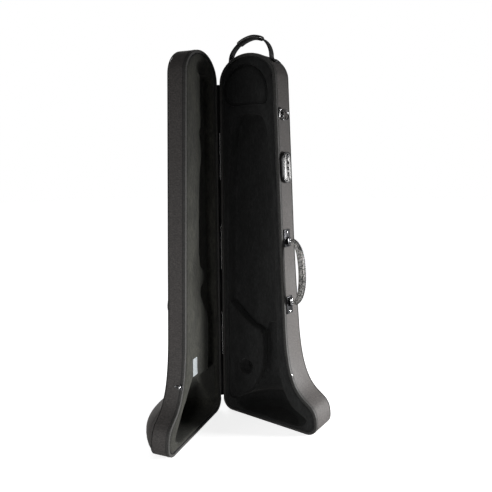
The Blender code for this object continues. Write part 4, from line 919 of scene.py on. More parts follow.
def braid(name, colour):
    """Glossy cord wound over a grip, with a painted highlight on each crown and painted shade in
    the lines between them.
    """
    look = Look(name, colour, 0.3)
    crowns = look.cells(340)
    rubbed = look.noise(420, 4, 0.7)
    # Painted highlight: the crowns at three times the colour. Painted shade: near black in the
    # lines between the cords.
    look.colours(crowns, (0.12, shade(colour, 3.0)), (0.34, colour), (0.62, shade(colour, 0.12)))
    look.roughness(rubbed, 0.2, 0.5)
    return look.bump(crowns, -0.0007, 0.9).bump(rubbed, 0.0003, 0.5).coat(0.5, 0.2).made


def webbing(name, colour, pitch=0.0016):
    look = Look(name, colour, 0.7)
    across = look.waves(1 / (pitch * 20), "DIAGONAL", 0.1, look.stretched((1, 0.25, 1)))
    along_it = look.waves(1 / (pitch * 20), "Y", 0.1)
    weave = look.sum(across, along_it, "MULTIPLY")
    look.colours(weave, (0.0, shade(colour, 0.5)), (0.6, colour), (1.0, shade(colour, 1.5)))
    look.bump(weave, 0.0004, 0.8).bump(look.noise(800, 2, 0.6), 0.0001, 0.5)
    return look.sheen(0.2, 0.4, (0.85, 0.85, 0.85)).made


def metal(name, colour, roughness, worn=0.1):
    """Plated metal with fine rubbing marks and darker patches."""
    look = Look(name, colour, roughness, 1.0)
    rubbed = look.noise(60, 5, 0.6, look.stretched((1, 1, 6)))
    patches = look.noise(240, 3, 0.5)
    look.colours(patches, (0.3, shade(colour, 0.8)), (0.7, colour))
    look.roughness(rubbed, roughness * 0.75, roughness + worn)
    return look.bump(rubbed, 0.00003, 0.3).made


def plastic(name, colour, roughness):
    look = Look(name, colour, roughness)
    fine = look.noise(700, 3, 0.6)
    look.colours(look.noise(40, 3, 0.5), (0.3, shade(colour, 0.8)), (0.7, shade(colour, 1.2)))
    look.roughness(fine, roughness * 0.85, roughness * 1.25)
    return look.bump(fine, 0.00004, 0.4).made


def tag_cloth(name, colour):
    look = Look(name, colour, 0.7)
    threads = look.sum(look.waves(60, "Z"), look.waves(60, "DIAGONAL"), "MULTIPLY")
    look.colours(threads, (0.0, shade(colour, 0.86)), (1.0, colour))
    return look.bump(threads, 0.0001, 0.6).sheen(0.15, 0.4, (1, 1, 1)).made


LOOKS = {}


def look_of(name):
    """The finishes of this case, each made once."""
    settings = bpy.context.scene.case_settings
    if name not in LOOKS:
        cover = tuple(settings.cover_colour)
        band = tuple(settings.band_colour)
        makers = {
            "cover": lambda: woven("woven_cover", cover),
            "band": lambda: woven("edge_band_cloth", band, 0.0009, 0.00012, 0.3),
            "cord": lambda: woven("seam_cord", shade(band, 1.3), 0.0014, 0.0002, 0.3),
            "tape": lambda: woven("zip_tape", (0.012, 0.012, 0.012), 0.0008, 0.0001, 0.1),
            "thread": lambda: woven("sewing_thread", (0.05, 0.05, 0.05), 0.0004, 0.00005, 0.2),
            # The base plush takes the darker colour, which is painted shade; the lid plush takes
            # the lighter one, which is painted light.
            "base_plush": lambda: pile("base_plush", tuple(settings.base_plush_shaded_colour), 0.05),
            "lid_plush": lambda: pile("lid_plush", tuple(settings.lid_plush_lit_colour), 0.12),
            "pocket": lambda: woven("pocket_nylon", shade(cover, 0.85), 0.0011, 0.00018, 0.2),
            "welt": lambda: pile("welt_cloth", (0.004, 0.0042, 0.0044), 0.05, 0.0002),
            "tag_thread": lambda: woven("tag_thread", (0.5, 0.53, 0.55), 0.0004, 0.00004, 0.1),
            "leather": lambda: leather("black_leather", (0.016, 0.015, 0.015)),
            "wrap": lambda: leather("wrap_leather", (0.03, 0.029, 0.028)),
            # The grip's braid carries painted highlights on its cord crowns and painted shade in
            # the lines between them.
            "grip": lambda: braid("grip_braid", (0.27, 0.262, 0.25)),
            "webbing": lambda: webbing("black_webbing", (0.022, 0.022, 0.023)),
            "chrome": lambda: metal("bright_plate", (0.66, 0.66, 0.67), 0.16),
            "dark_metal": lambda: metal("dark_plate", (0.075, 0.075, 0.08), 0.3),
            "mount": lambda: metal("mount_plate", (0.03, 0.03, 0.032), 0.45),
            "lock_plate": lambda: metal("lock_plate", (0.15, 0.148, 0.146), 0.4, 0.16),
            "ring_wire": lambda: metal("ring_wire", (0.3, 0.3, 0.31), 0.2),
            "hinge_metal": lambda: metal("black_steel", (0.012, 0.012, 0.0125), 0.5),
            "teeth": lambda: plastic("zip_teeth", (0.02, 0.02, 0.021), 0.28),
            "plastic": lambda: plastic("black_plastic", (0.015, 0.015, 0.016), 0.3),
            "dial": lambda: plastic("dial_plastic", (0.008, 0.008, 0.0085), 0.6),
            "tag": lambda: tag_cloth("white_tag", tuple(settings.tag_colour)),
        }
        LOOKS[name] = makers[name]()
    return LOOKS[name]


# Stage
FLOOR_RADIUS = 9
# Lamps: name, place, target, size, spread in degrees, the setting of its power and a share of it
LAMPS = (
    ("side_lamp", (2.0, 1.4, 0.45), (0.0, 0.1, 0.12), 0.6, 45, "key_power", 1),
    ("front_lamp", (-0.8, -2.4, 0.45), (0.0, 0.0, 0.2), 1.4, 50, "fill_power", 1),
    ("right_lamp", (0.88, -2.2, 0.45), (-0.1, 0.0, 0.2), 0.35, 40, "fill_power", 0.22),
    ("back_lamp", (-1.8, 1.2, 1.2), (-0.1, 0.1, 0.4), 1.4, 90, "fill_power", 1.5),
)
# Camera, solved from the outlines of both halves: metres from the hinge, and degrees
EYE_AWAY, EYE_HEIGHT, EYE_TURN = 1.339, 0.659, 38.3
HEADING, PITCH, ROLL = 2.89, 8.99, -0.34
FOCAL_PIXELS, PICTURE_PIXELS, SENSOR = 518, 492, 36


def pale_floor():
    """A wide floor that shows near white to the camera and keeps the case's shadow."""
    bpy.ops.mesh.primitive_circle_add(vertices=64, radius=FLOOR_RADIUS, fill_type="NGON")
    floor = bpy.context.object
    floor.name = "floor"
    look = Look("pale_floor", (0.86, 0.86, 0.86), 0.9)
    far = look.node("ShaderNodeVectorMath", operation="LENGTH")
    look.link(look.place, far.inputs[0])
    ray = look.node("ShaderNodeLightPath").outputs["Is Camera Ray"]
    lift = look.spread(far.outputs["Value"], 0.8, 1.0, 0.2, 0.45)
    glow = look.node("ShaderNodeEmission")
    look.link(look.sum(ray, lift, "MULTIPLY"), glow.inputs["Strength"])
    both = look.node("ShaderNodeAddShader")
    look.link(look.shader.outputs[0], both.inputs[0])
    look.link(glow.outputs[0], both.inputs[1])
    out = look.tree.nodes["Material Output"]
    look.link(both.outputs[0], out.inputs["Surface"])
    floor.data.materials.append(look.made)
    settle(floor)


def studio_world(scene):
    """White to the camera and through clear things, and a weak soft light on the case."""
    world = bpy.data.worlds.new("studio")
    scene.world = world
    world.use_nodes = True
    tree = world.node_tree
    tree.nodes.clear()
    paths = tree.nodes.new("ShaderNodeLightPath")
    seen = tree.nodes.new("ShaderNodeBackground")
    seen.inputs["Color"].default_value = (1, 1, 1, 1)
    soft = tree.nodes.new("ShaderNodeBackground")
    soft.inputs["Color"].default_value = (0.95, 0.97, 1.0, 1)
    soft.inputs["Strength"].default_value = 0.06
    mixed = tree.nodes.new("ShaderNodeMixShader")
    any_seen = tree.nodes.new("ShaderNodeMath")
    any_seen.operation = "MAXIMUM"
    out = tree.nodes.new("ShaderNodeOutputWorld")
    for start, end in ((paths.outputs["Is Camera Ray"], any_seen.inputs[0]),
                       (paths.outputs["Is Transmission Ray"], any_seen.inputs[1]),
                       (any_seen.outputs[0], mixed.inputs[0]), (soft.outputs[0], mixed.inputs[1]),
                       (seen.outputs[0], mixed.inputs[2]), (mixed.outputs[0], out.inputs[0])):
        tree.links.new(start, end)


def hang_lamps(settings):
    for name, spot, target, size, spread, power, share in LAMPS:
        deselect()
        bpy.ops.object.light_add(type="AREA", location=spot)
        lamp = bpy.context.object
        lamp.name = name
        lamp.data.size = size
        lamp.data.spread = math.radians(spread)
        lamp.data.energy = getattr(settings, power) * share
        way = Vector(target) - Vector(spot)
        lamp.rotation_euler = way.to_track_quat("-Z", "Y").to_euler()


def set_camera(scene):
    turn = math.radians(EYE_TURN)
    heading = math.radians(HEADING) - turn
    pitch, roll = math.radians(PITCH), math.radians(ROLL)
    eye = Vector((EYE_AWAY * math.sin(turn) + HINGE_X, -EYE_AWAY * math.cos(turn) + HINGE_Y,
                  EYE_HEIGHT))
    ahead = Vector((math.sin(heading) * math.cos(pitch), math.cos(heading) * math.cos(pitch),
                    -math.sin(pitch)))
    right = Vector((math.cos(heading), -math.sin(heading), 0))
    up = right.cross(ahead)
    camera_x = right * math.cos(roll) + up * math.sin(roll)
    camera_y = up * math.cos(roll) - right * math.sin(roll)
    data = bpy.data.cameras.new("camera")
    data.lens = SENSOR * FOCAL_PIXELS / PICTURE_PIXELS
    data.sensor_width = SENSOR
    camera = bpy.data.objects.new("camera", data)
    scene.collection.objects.link(camera)
    camera.matrix_world = axes_matrix(camera_x, camera_y, -ahead, eye)
    scene.camera = camera


class CASE_OT_stage(bpy.types.Operator):
    """Floor, backdrop light, lamps and camera"""
    bl_idname = "case.stage"
    bl_label = "Stage"

    def execute(self, context):
        deselect()
        pale_floor()
        studio_world(context.scene)
        hang_lamps(context.scene.case_settings)
        set_camera(context.scene)
        context.scene.view_settings.view_transform = "Standard"
        return {"FINISHED"}


# Covers, and the cloth edge and seams along their rims
BAND_OUTER, BAND_INNER = 0.0019, 0.001
BAND_CROWN = (0.0036, PARTING + 0.00025)
PIPING_SIDES = 10
RIM_SEAM_RADIUS, RIM_SEAM_DEPTH, RIM_SEAM_SIDES = 0.0008, 0.0011, 8
RIM_STITCH, RIM_STITCH_BEVEL = (0.0026, 0.0006, 0.0005), 0.00018
RIM_STITCH_INSET, RIM_STITCH_DEPTH, RIM_STITCH_LOW = -0.00005, 0.0031, 0.0015


def band_profile():
    """Half a rolled fabric edge: inset and depth, from the outer back corner round the front."""
    back = PARTING + BAND_DEPTH
    points = [(0, back)]
    points += [(BAND_OUTER - BAND_OUTER * math.cos(a),
                PARTING + BAND_OUTER - BAND_OUTER * math.sin(a))
               for a in (0, 0.4, 0.8, 1.2, math.pi / 2)]
    points += [BAND_CROWN]
    points += [(BAND_WIDTH - BAND_INNER + BAND_INNER * math.sin(a),
                PARTING + BAND_INNER - BAND_INNER * math.cos(a))
               for a in (0, 0.5, 1.0, math.pi / 2)]
    points += [(BAND_WIDTH, back)]
    return points


class CASE_OT_covers(bpy.types.Operator):
    """Woven covers, fabric edges and corded seams of both halves"""
    bl_idname = "case.covers"
    bl_label = "Covers"

    def execute(self, context):
        settings = context.scene.case_settings
        for side in (BASE, LID):
            name, body = SIDE_NAME[side], BODY[side]
            cover = Loft(side)
            outer = cover.tray(0, SHELL_FRONT, 0)
            inner = cover.tray(WALL, SHELL_FRONT, WALL)
            cover.bridge(outer, inner)
            made = cover.piece(name + "_cover")
            smooth_by_angle(made, 38)
            done(made, body, "woven_cover", look_of("cover"), name + "_shell")

            edge = Loft(side)
            edge.rings([edge.loop(inset_outline(inset), depth) for inset, depth in band_profile()])
            made = edge.piece(name + "_rim_edge")
            smooth_by_angle(made, 50)
            done(made, body, "edge_band_fabric", look_of("band"), name + "_edge_band")

            middle = (SEAM - (PIPING_RADIUS + GAP) * math.sqrt(2)) / 2
            cord = Loft(side)
            rings = []
            for k in range(PIPING_SIDES):
                angle = 2 * math.pi * (k + 0.5) / PIPING_SIDES
                sink = middle + PIPING_RADIUS * math.sin(angle)
                rings.append(cord.loop(inset_outline(middle + PIPING_RADIUS * math.cos(angle)),
                                       lambda w, z, sink=sink: side_depth(z, side) - sink))
            cord.rings(rings)
            done(cord.piece(name + "_corded_seam"), body, "piping_fabric", look_of("cord"),
                 name + "_piping")

            # Near-black cord where the band meets the cover: a seam, whose black colour also stands
            # in for the shade of the groove between band and shell, as painted shade.
            seam = Loft(side)
            rings = []
            for angle in np.linspace(0, 2 * math.pi, RIM_SEAM_SIDES, endpoint=False):
                line_inset = RIM_SEAM_RADIUS / 2 - RIM_SEAM_RADIUS * math.cos(angle)
                on_floor = [(w, max(z, 0)) for w, z in inset_outline(line_inset)]
                rings.append(seam.loop(on_floor, SHELL_FRONT + RIM_SEAM_DEPTH
                                       + RIM_SEAM_RADIUS * math.sin(angle)))
            seam.rings(rings)
            done(seam.piece(name + "_rim_seam"), body, "edge_band_fabric", look_of("tape"))

            stitch = small_block(RIM_STITCH, RIM_STITCH_BEVEL)
            places = outline_places(side, RIM_STITCH_INSET, SHELL_FRONT + RIM_STITCH_DEPTH,
                                    settings.stitch_pitch, keep=lambda w, z: z > RIM_STITCH_LOW)
            turned_out = Matrix.Rotation(math.radians(90), 4, "X")
            made = repeated(name + "_rim_stitches", stitch, [p @ turned_out for p in places])
            done(made, body, "edge_band_fabric", look_of("thread"))
        return {"FINISHED"}


# Zip: the tape's profile is inset and depth, and it runs all round but the hinge side
ZIP_FROM, ZIP_TO = CORNER_STEPS // 2, 2 * ACROSS + UP - CORNER_STEPS // 2
ZIP_STOP = ZIP_START + ZIP_WIDTH
TAPE_PROFILE = ((ZIP_START, 0.0058), (ZIP_START, 0.0021), (ZIP_START + 0.0005, 0.0019),
                (ZIP_STOP - 0.0004, 0.0019), (ZIP_STOP, 0.0022), (ZIP_STOP, 0.0058))
TOOTH, TOOTH_DEPTH = (0.0016, 0.0021, 0.0013), 0.00155


class CASE_OT_zip(bpy.types.Operator):
    """Tapes and teeth round both rims, the slider with its puller and the end stop"""
    bl_idname = "case.zip"
    bl_label = "Zip"

    def execute(self, context):
        settings = context.scene.case_settings
        for side in (BASE, LID):
            name, body = SIDE_NAME[side], BODY[side]
            tape = Loft(side)
            tape.bar([tape.loop(inset_outline(inset)[ZIP_FROM:ZIP_TO], depth)
                      for inset, depth in TAPE_PROFILE])
            made = tape.piece(name + "_zip_tape", smooth=False)
            done(made, body, "zip_teeth", look_of("tape"), name + "_zip_row")

            tooth = small_block(TOOTH, 0.0003, 0.72)
            places = outline_places(side, ZIP_START + ZIP_WIDTH / 2, TOOTH_DEPTH,
                                    settings.tooth_pitch, ZIP_FROM, ZIP_TO, False)
            made = repeated(name + "_zip_teeth", tooth, places)
            done(made, body, "zip_teeth", look_of("teeth"))
        refined("zip_slider", "lid", "dark_metal", look_of("dark_metal"), 0.00025)
        refined("zip_puller", "puller", "chrome", look_of("chrome"), 0.00015)
        refined("zip_end_stop", "base", "chrome", look_of("chrome"), 0.0003)
        return {"FINISHED"}


# Linings: how deep the faces lie that nobody sees
BASE_HIDDEN_DEPTH, LID_HIDDEN_DEPTH, SIDE_HIDDEN_DEPTH = 0.04, 0.035, 0.012
HIDDEN_INSET, HIDDEN_CROWN = 0.006, 0.86


def lining_blank(side):
    """The lining of a half before its hollows are carved."""
    body = Loft(side)
    body.panel(body.tray(LINER_START, LINER_FRONT, LINER_INWARD), LINER_START,
               lambda w, z: LINER_FRONT)
    return body.piece(SIDE_NAME[side] + "_lining", False)


def cup_cutter(sides=40):
    """Cutter for the mouthpiece seat: a wide cup, a dished floor and the shank's bore."""
    points = []
    for radius, height in CUP_PROFILE:
        for k in range(sides):
            angle = 2 * math.pi * k / sides
            points.append((CUP_W + radius * math.cos(angle), -height,
                           CUP_Z + radius * math.sin(angle)))
    return piece_of("hollow", points, ring_faces(len(CUP_PROFILE), sides))


def hidden_side(face):
    """True for a face of the lining that lies against the cover's wall."""
    w, z = face.center.x, face.center.z
    across, up = (w - TOP_MIDDLE_W) / TOP_HALF_WIDTH, (z - SHOULDER_Z) / TOP_RISE
    return (w < HINGE_SIDE + HIDDEN_INSET or w > latch_w(z) - HIDDEN_INSET or z < HIDDEN_INSET
            or z > SHOULDER_Z and across ** 2 + up ** 2 > HIDDEN_CROWN)


def finish_lining(lining, side, deep):
    """Softens a carved lining, thins what lies against the cover and sets it into its half."""
    settings = bpy.context.scene.case_settings
    plush(lining, settings.voxel, settings.soft_passes)
    hide = [f.index for f in lining.data.polygons
            if side * f.normal.y > 0.2 and side * f.center.y > deep
            or side * f.center.y > SIDE_HIDDEN_DEPTH and hidden_side(f)]
    thin_hidden(lining, hide, 0.12)
    settle(lining, half_matrix(side))
    name = SIDE_NAME[side]
    done(lining, BODY[side], name + "_plush", look_of(name + "_plush"), name + "_liner")


class CASE_OT_base_lining(bpy.types.Operator):
    """Plush lining of the base with its recess, throat, bell room and compartment"""
    bl_idname = "case.base_lining"
    bl_label = "Base lining"

    def execute(self, context):
        lining = lining_blank(BASE)
        carve(lining, [
            hollow(BASE, RECESS, RECESS_DEPTH), hollow(BASE, THROAT, THROAT_DEPTH, 4),
            bell_hollow(BASE, BASE_BELL),
            plain_hollow(BASE, filleted(soft_loop(BLOCK, 0, BLOCK_ROOM), BLOCK_CORNER),
                         BLOCK_POCKET),
            plain_hollow(BASE, pad_loop(-PAD_ROOM), PAD_BACK + GAP),
            plain_hollow(BASE, pad_loop(LEDGE), COMPARTMENT_DEPTH), cup_cutter()])
        finish_lining(lining, BASE, BASE_HIDDEN_DEPTH)
        return {"FINISHED"}


class CASE_OT_lid_lining(bpy.types.Operator):
    """Plush lining of the lid with its channels, shelf and bell room"""
    bl_idname = "case.lid_lining"
    bl_label = "Lid lining"

    def execute(self, context):
        lining = lining_blank(LID)
        deselect()
        w, z, half_width, deep, half_height = SCOOP
        bpy.ops.mesh.primitive_uv_sphere_add(segments=40, ring_count=24, radius=1,
                                             location=(w, 0, z),
                                             scale=(half_width, deep, half_height))
        scoop = settle(context.object)
        carve(lining, [hollow(LID, CHANNEL, CHANNEL_DEPTH, 4, 0.01),
                       hollow(LID, TOP_CHANNEL, TOP_CHANNEL_DEPTH, 4, 0.008),
                       hollow(LID, SHELF, SHELF_DEPTH, 4, 0.006),
                       bell_hollow(LID, LID_BELL), scoop])
        finish_lining(lining, LID, LID_HIDDEN_DEPTH)
        return {"FINISHED"}


# Padded cloth
def puffed(piece, voxel, pressure, cap, held):
    """Cloth under air pressure, fixed where it is sewn down; no point moves further than cap."""
    pick(piece)
    even = piece.modifiers.new("even faces", "REMESH")
    even.mode = "VOXEL"
    even.voxel_size = voxel
    apply_steps(piece)
    rest = points_of(piece)
    sewn = piece.vertex_groups.new(name="sewn down")
    sewn.add([v.index for v in piece.data.vertices if held(v.co)], 1.0, "REPLACE")
    cloth = piece.modifiers.new("cloth", "CLOTH")
    cloth.settings.use_pressure = True
    cloth.settings.uniform_pressure_force = pressure
    cloth.settings.effector_weights.gravity = 0
    cloth.settings.vertex_group_mass = "sewn down"
    scene = bpy.context.scene
    for step in range(1, 21):
        scene.frame_set(step)
    apply_steps(piece)
    scene.frame_set(1)
    moved = points_of(piece) - rest
    length = np.linalg.norm(moved, axis=1, keepdims=True)
    move_points(piece, rest + moved * np.minimum(1, cap / np.maximum(length, 1e-9)))
    piece.vertex_groups.clear()
    smooth = piece.modifiers.new("even", "SMOOTH")
    smooth.factor = 0.5
    smooth.iterations = 2
    finer = piece.modifiers.new("finer", "SUBSURF")
    finer.levels = finer.render_levels = 1
    apply_steps(piece)
    smooth_all(piece)


def distance_to(loop, points):
    """Distance of each w, z point from a closed line."""
    a = np.array(loop)
    b = np.roll(a, -1, axis=0)
    best = np.full(len(points), 9.0)
    for start, end in zip(a, b):
        way = end - start
        t = np.clip(((points - start) @ way) / max(1e-12, way @ way), 0, 1)
        best = np.minimum(best, np.linalg.norm(points - start - t[:, None] * way, axis=1))
    return best


def sewn_line(piece, loop, inset, sink, width, toward):
    """Draws a seam into a padded piece, at an inset from its edge loop."""
    points = points_of(piece)
    away = distance_to(loop, points[:, [0, 2]]) - inset
    pull = sink * np.exp(-(away / width) ** 2)
    pull[points[:, 1] * toward < 0] = 0
    points[:, 1] -= pull * toward
    move_points(piece, points)


def smooth_line(points, steps):
    """A smooth line through all the points."""
    points = [Vector(p) for p in points]
    points = [points[0] * 2 - points[1]] + points + [points[-1] * 2 - points[-2]]
    made = []
    for a, b, c, d in zip(points, points[1:], points[2:], points[3:]):
        for k in range(steps):
            t = k / steps
            made.append(0.5 * (2 * b + (c - a) * t + (2 * a - 5 * b + 4 * c - d) * t * t
                               + (3 * b - a - 3 * c + d) * t ** 3))
    return made + [points[-2]]


def pad_loop(inset, radius=0.014):
    loop = [(w * SQUARE, z * SQUARE) for w, z in PAD]
    normals = left_normals(loop)
    return filleted([(w + n.x * inset, z + n.y * inset) for (w, z), n in zip(loop, normals)],
                    radius, 4)


class CASE_OT_mouthpiece_block(bpy.types.Operator):
    """Moulded foam block with the hole for the mouthpiece"""
    bl_idname = "case.mouthpiece_block"
    bl_label = "Mouthpiece block"

    def execute(self, context):
        settings = context.scene.case_settings
        body = Loft(BASE)
        rings = [body.loop(filleted(soft_loop(BLOCK, 0), BLOCK_CORNER), BLOCK_BACK)]
        steps = 6
        for k in range(steps + 1):
            angle = math.pi / 2 * k / steps
            rings.append(body.loop(
                filleted(soft_loop(BLOCK, 1 - math.cos(angle)), BLOCK_CORNER),
                BLOCK_SHOULDER - (BLOCK_SHOULDER - BLOCK_FRONT) * math.sin(angle)))
        body.filled(rings)
        block = body.piece("mouthpiece_block_foam", False)
        carve(block, [cup_cutter()])
        plush(block, settings.voxel * 0.75, settings.soft_passes)
        settle(block, half_matrix(BASE))
        done(block, "base", "base_plush", look_of("base_plush"), "mouthpiece_block")
        return {"FINISHED"}


# Padded lid of the compartment: sections are inset and depth
PAD_SECTIONS = ((0.003, PAD_BACK - 0.0004), (0.0008, PAD_BACK - 0.0024), (0.0006, 0.0068),
                (0.0022, 0.0052), (0.008, 0.0046), (0.018, 0.0042))
PAD_SEWN, PAD_CROWN_FRONT, PAD_BORDER = 0.0028, 0.0016, 0.0052
WELT_RADIUS = 0.0008
FOLD_SIDES, FOLD_RADIUS, FOLD_DEPTH, FOLD_Z = 12, 0.0011, 0.0034, 0.7985
FOLD_ENDS = (0.044, 0.132)


class CASE_OT_compartment_lid(bpy.types.Operator):
    """Padded lid of the accessory compartment with its welt and sewn fold"""
    bl_idname = "case.compartment_lid"
    bl_label = "Compartment lid"

    def execute(self, context):
        body = Loft(BASE)
        body.filled([body.loop(pad_loop(inset), depth) for inset, depth in PAD_SECTIONS])
        pad = body.piece("compartment_pad", False)
        puffed(pad, 0.0032, 4.0, 0.005, lambda co: co.y > PAD_BACK - PAD_SEWN)
        points = points_of(pad)
        points[:, 1] = np.maximum(points[:, 1], PAD_CROWN_FRONT)
        move_points(pad, points)
        sewn_line(pad, pad_loop(0), PAD_BORDER, -0.0012, 0.0013, 1)
        settle(pad, half_matrix(BASE))
        done(pad, "compartment_cover", "base_plush", look_of("base_plush"), "compartment_lid")

        for name, inset, depth in (("outer", 0.0014, 0.0052), ("inner", PAD_BORDER, 0.0053)):
            line_points = in_place(BASE, [(w, depth, z) for w, z in pad_loop(inset)])
            welt = tube_along("compartment_welt_" + name, line_points, WELT_RADIUS, 8, True)
            done(welt, "compartment_cover", "base_plush", look_of("welt"))

        fold = Loft(BASE)
        rings = []
        for k in range(FOLD_SIDES):
            angle = 2 * math.pi * k / FOLD_SIDES
            rings.append([fold.add(w, FOLD_DEPTH + FOLD_RADIUS * math.sin(angle),
                                   FOLD_Z + FOLD_RADIUS * math.cos(angle))
                          for w in np.linspace(*FOLD_ENDS, 24)])
        fold.bar(rings)
        done(fold.piece("compartment_fold_strip"), "base", "webbing", look_of("webbing"),
             "compartment_fold")
        return {"FINISHED"}


TAG_W, TAG_Z, TAG_WIDE, TAG_HIGH = 0.152, 0.1735, 0.022, 0.044
TAG_THICK, TAG_CORNER = 0.0007, 0.0015
TAG_STITCH, TAG_STITCH_PITCH, TAG_STITCH_SINK = (0.0018, 0.0004, 0.0003), 0.0026, 0.0002


class CASE_OT_tag(bpy.types.Operator):
    """Bare white tag sewn to the lid lining"""
    bl_idname = "case.tag"
    bl_label = "Tag"

    def execute(self, context):
        front = LINER_FRONT - GAP - TAG_THICK
        left, right = TAG_W - TAG_WIDE / 2, TAG_W + TAG_WIDE / 2
        low, high = TAG_Z - TAG_HIGH / 2, TAG_Z + TAG_HIGH / 2
        loop = filleted([(left, low), (right, low), (right, high), (left, high)], TAG_CORNER, 3)
        body = Loft(LID)

        def shrunk(share):
            return [(TAG_W + (w - TAG_W) * share, TAG_Z + (z - TAG_Z) * share) for w, z in loop]

        def lift(w, z):
            return front + 0.00018 + 0.00014 * math.sin(w * 330) * math.cos(z * 210 + 0.6)

        rings = [body.loop(loop, front + TAG_THICK), body.loop(loop, front + TAG_THICK * 0.5)]
        rings += [body.loop(shrunk(share), lift) for share in (0.985, 0.9, 0.75, 0.5, 0.25, 0.05)]
        body.filled(rings)
        done(body.piece("sewn_tag"), "lid", "tag", look_of("tag"), "lid_label")
        stitch = small_block(TAG_STITCH, 0.0001)
        edge = [(w, z, 0) for w, z in shrunk(0.93)]
        places = [face_place(LID, spot.x, front + TAG_STITCH_SINK, spot.y, way)
                  for spot, way in along(edge, TAG_STITCH_PITCH, True)]
        done(repeated("tag_stitches", stitch, places), "lid", "tag", look_of("tag_thread"))
        return {"FINISHED"}


# Back pocket: sections are inset and share of its thickness
POCKET_LEFT, POCKET_LOW, POCKET_HIGH, POCKET_CORNER = 0.018, 0.3, 0.785, 0.022
POCKET_LATCH_GAP, POCKET_THIN, POCKET_FULL = 0.011, 0.004, 0.0135
POCKET_SECTIONS = ((0.0015, 0), (0.0006, 0.4), (0.003, 0.8), (0.010, 0.96))
POCKET_SEWN, BINDING_RADIUS = 0.0025, 0.0013
POCKET_ZIP_Z, POCKET_ZIP_LEFT, POCKET_ZIP_GAP = 0.752, 0.032, 0.014
POCKET_TOOTH, POCKET_TOOTH_PITCH, POCKET_TOOTH_RISE = (0.0014, 0.0028, 0.001), 0.0022, 0.0006


def pocket_loop(inset, steps=8):
    """Edge of the pocket: square to the case's foot, and following the latch side."""
    corner = POCKET_CORNER
    left, low, high = POCKET_LEFT + inset, POCKET_LOW + inset, POCKET_HIGH - inset
    right_low = latch_w(low + corner) - POCKET_LATCH_GAP - inset
    right_high = latch_w(high - corner) - POCKET_LATCH_GAP - inset
    quarter = math.pi / 2
    loop = arc(left + corner, low + corner, corner, corner, 2 * quarter, 3 * quarter, steps)
    loop += line(loop[-1], (right_low - corner, low), 12)[1:-1]
    loop += arc(right_low - corner, low + corner, corner, corner, -quarter, 0, steps)
    loop += line(loop[-1], (right_high, high - corner), 40)[1:-1]
    loop += arc(right_high - corner, high - corner, corner, corner, 0, quarter, steps)
    loop += line(loop[-1], (left + corner, high), 12)[1:-1]
    loop += arc(left + corner, high - corner, corner, corner, quarter, 2 * quarter, steps)
    loop += line(loop[-1], (left, low + corner), 40)[1:-1]
    return loop


def pocket_thick(z):
    share = (POCKET_HIGH - z) / (POCKET_HIGH - POCKET_LOW)
    return POCKET_THIN + (POCKET_FULL - POCKET_THIN) * share


class CASE_OT_pocket(bpy.types.Operator):
    """Flat cloth pocket on the back of the lid, with bound edges and a zip near its top"""
    bl_idname = "case.pocket"
    bl_label = "Back pocket"

    def execute(self, context):
        wall = LID_SIDE + GAP
        body = Loft(LID)
        body.filled([body.loop(pocket_loop(inset),
                               lambda w, z, share=share: wall + pocket_thick(z) * share)
                     for inset, share in POCKET_SECTIONS])
        pocket = body.piece("back_pocket", False)
        puffed(pocket, 0.0031, 4.0, 0.006, lambda co: -co.y < wall + POCKET_SEWN)
        points = points_of(pocket)
        limit = wall + np.array([pocket_thick(z) for z in points[:, 2]])
        points[:, 1] = -np.clip(-points[:, 1], wall, limit)
        move_points(pocket, points)
        settle(pocket, half_matrix(LID))
        done(pocket, "lid", "pocket_fabric", look_of("pocket"), "lid_pocket")

        binding = in_place(LID, [(w, wall + BINDING_RADIUS, z) for w, z in pocket_loop(0.0004)])
        made = tube_along("pocket_binding", binding, BINDING_RADIUS, 8, True, (1.3, 1.0))
        done(made, "lid", "pocket_fabric", look_of("band"))
        z = POCKET_ZIP_Z
        high = latch_w(z) - POCKET_LATCH_GAP - POCKET_ZIP_GAP
        strip = [(w, wall + pocket_thick(z) + 0.0001, z)
                 for w in np.linspace(POCKET_ZIP_LEFT, high, 40)]
        tape = tube_along("pocket_zip_tape", in_place(LID, strip), 0.001, 8, False, (5.0, 0.6),
                          Vector((0, 0, 1)))
        done(tape, "lid", "pocket_fabric", look_of("tape"))
        tooth = small_block(POCKET_TOOTH, 0.0002, 0.8)
        places = [face_place(LID, spot.x, spot.y + POCKET_TOOTH_RISE, z, Vector((1, 0)), 1)
                  for spot, _ in along(strip, POCKET_TOOTH_PITCH)]
        done(repeated("pocket_zip_teeth", tooth, places), "lid", "pocket_fabric",
             look_of("teeth"))
        return {"FINISHED"}


# Hardware
ON_AXIS = 1e-7


def turned(name, profile, matrix, sides=28):
    """A turned shape about the local z axis, from points of radius and height."""
    inner = [p for p in profile if p[0] > ON_AXIS]
    points = [(radius * math.cos(2 * math.pi * k / sides),
               radius * math.sin(2 * math.pi * k / sides), height)
              for radius, height in inner for k in range(sides)]
    faces = ring_faces(len(inner), sides, capped=False)
    last = (len(inner) - 1) * sides
    for start, (radius, height) in ((0, profile[0]), (last, profile[-1])):
        if radius <= ON_AXIS:
            points.append((0, 0, height))
            faces += [(start + k, start + (k + 1) % sides, len(points) - 1) for k in range(sides)]
        else:
            faces.append(tuple(range(start, start + sides)))
    return settle(piece_of(name, points, faces), matrix)


ALONG_X = Matrix.Rotation(math.pi / 2, 4, "Y")
RIVET_HEAD = ((0.0013, -0.0016), (0.0013, 0), (0.0041, 0), (0.00425, 0.00025), (0.0040, 0.0006),
              (0.0034, 0.00105), (0.0025, 0.0014), (0.0013, 0.00156), (0, 0.0016))


def rivet(node, matrix):
    made = turned(node + "_head", RIVET_HEAD, matrix)
    done(made, "base", "chrome", look_of("chrome"), node)


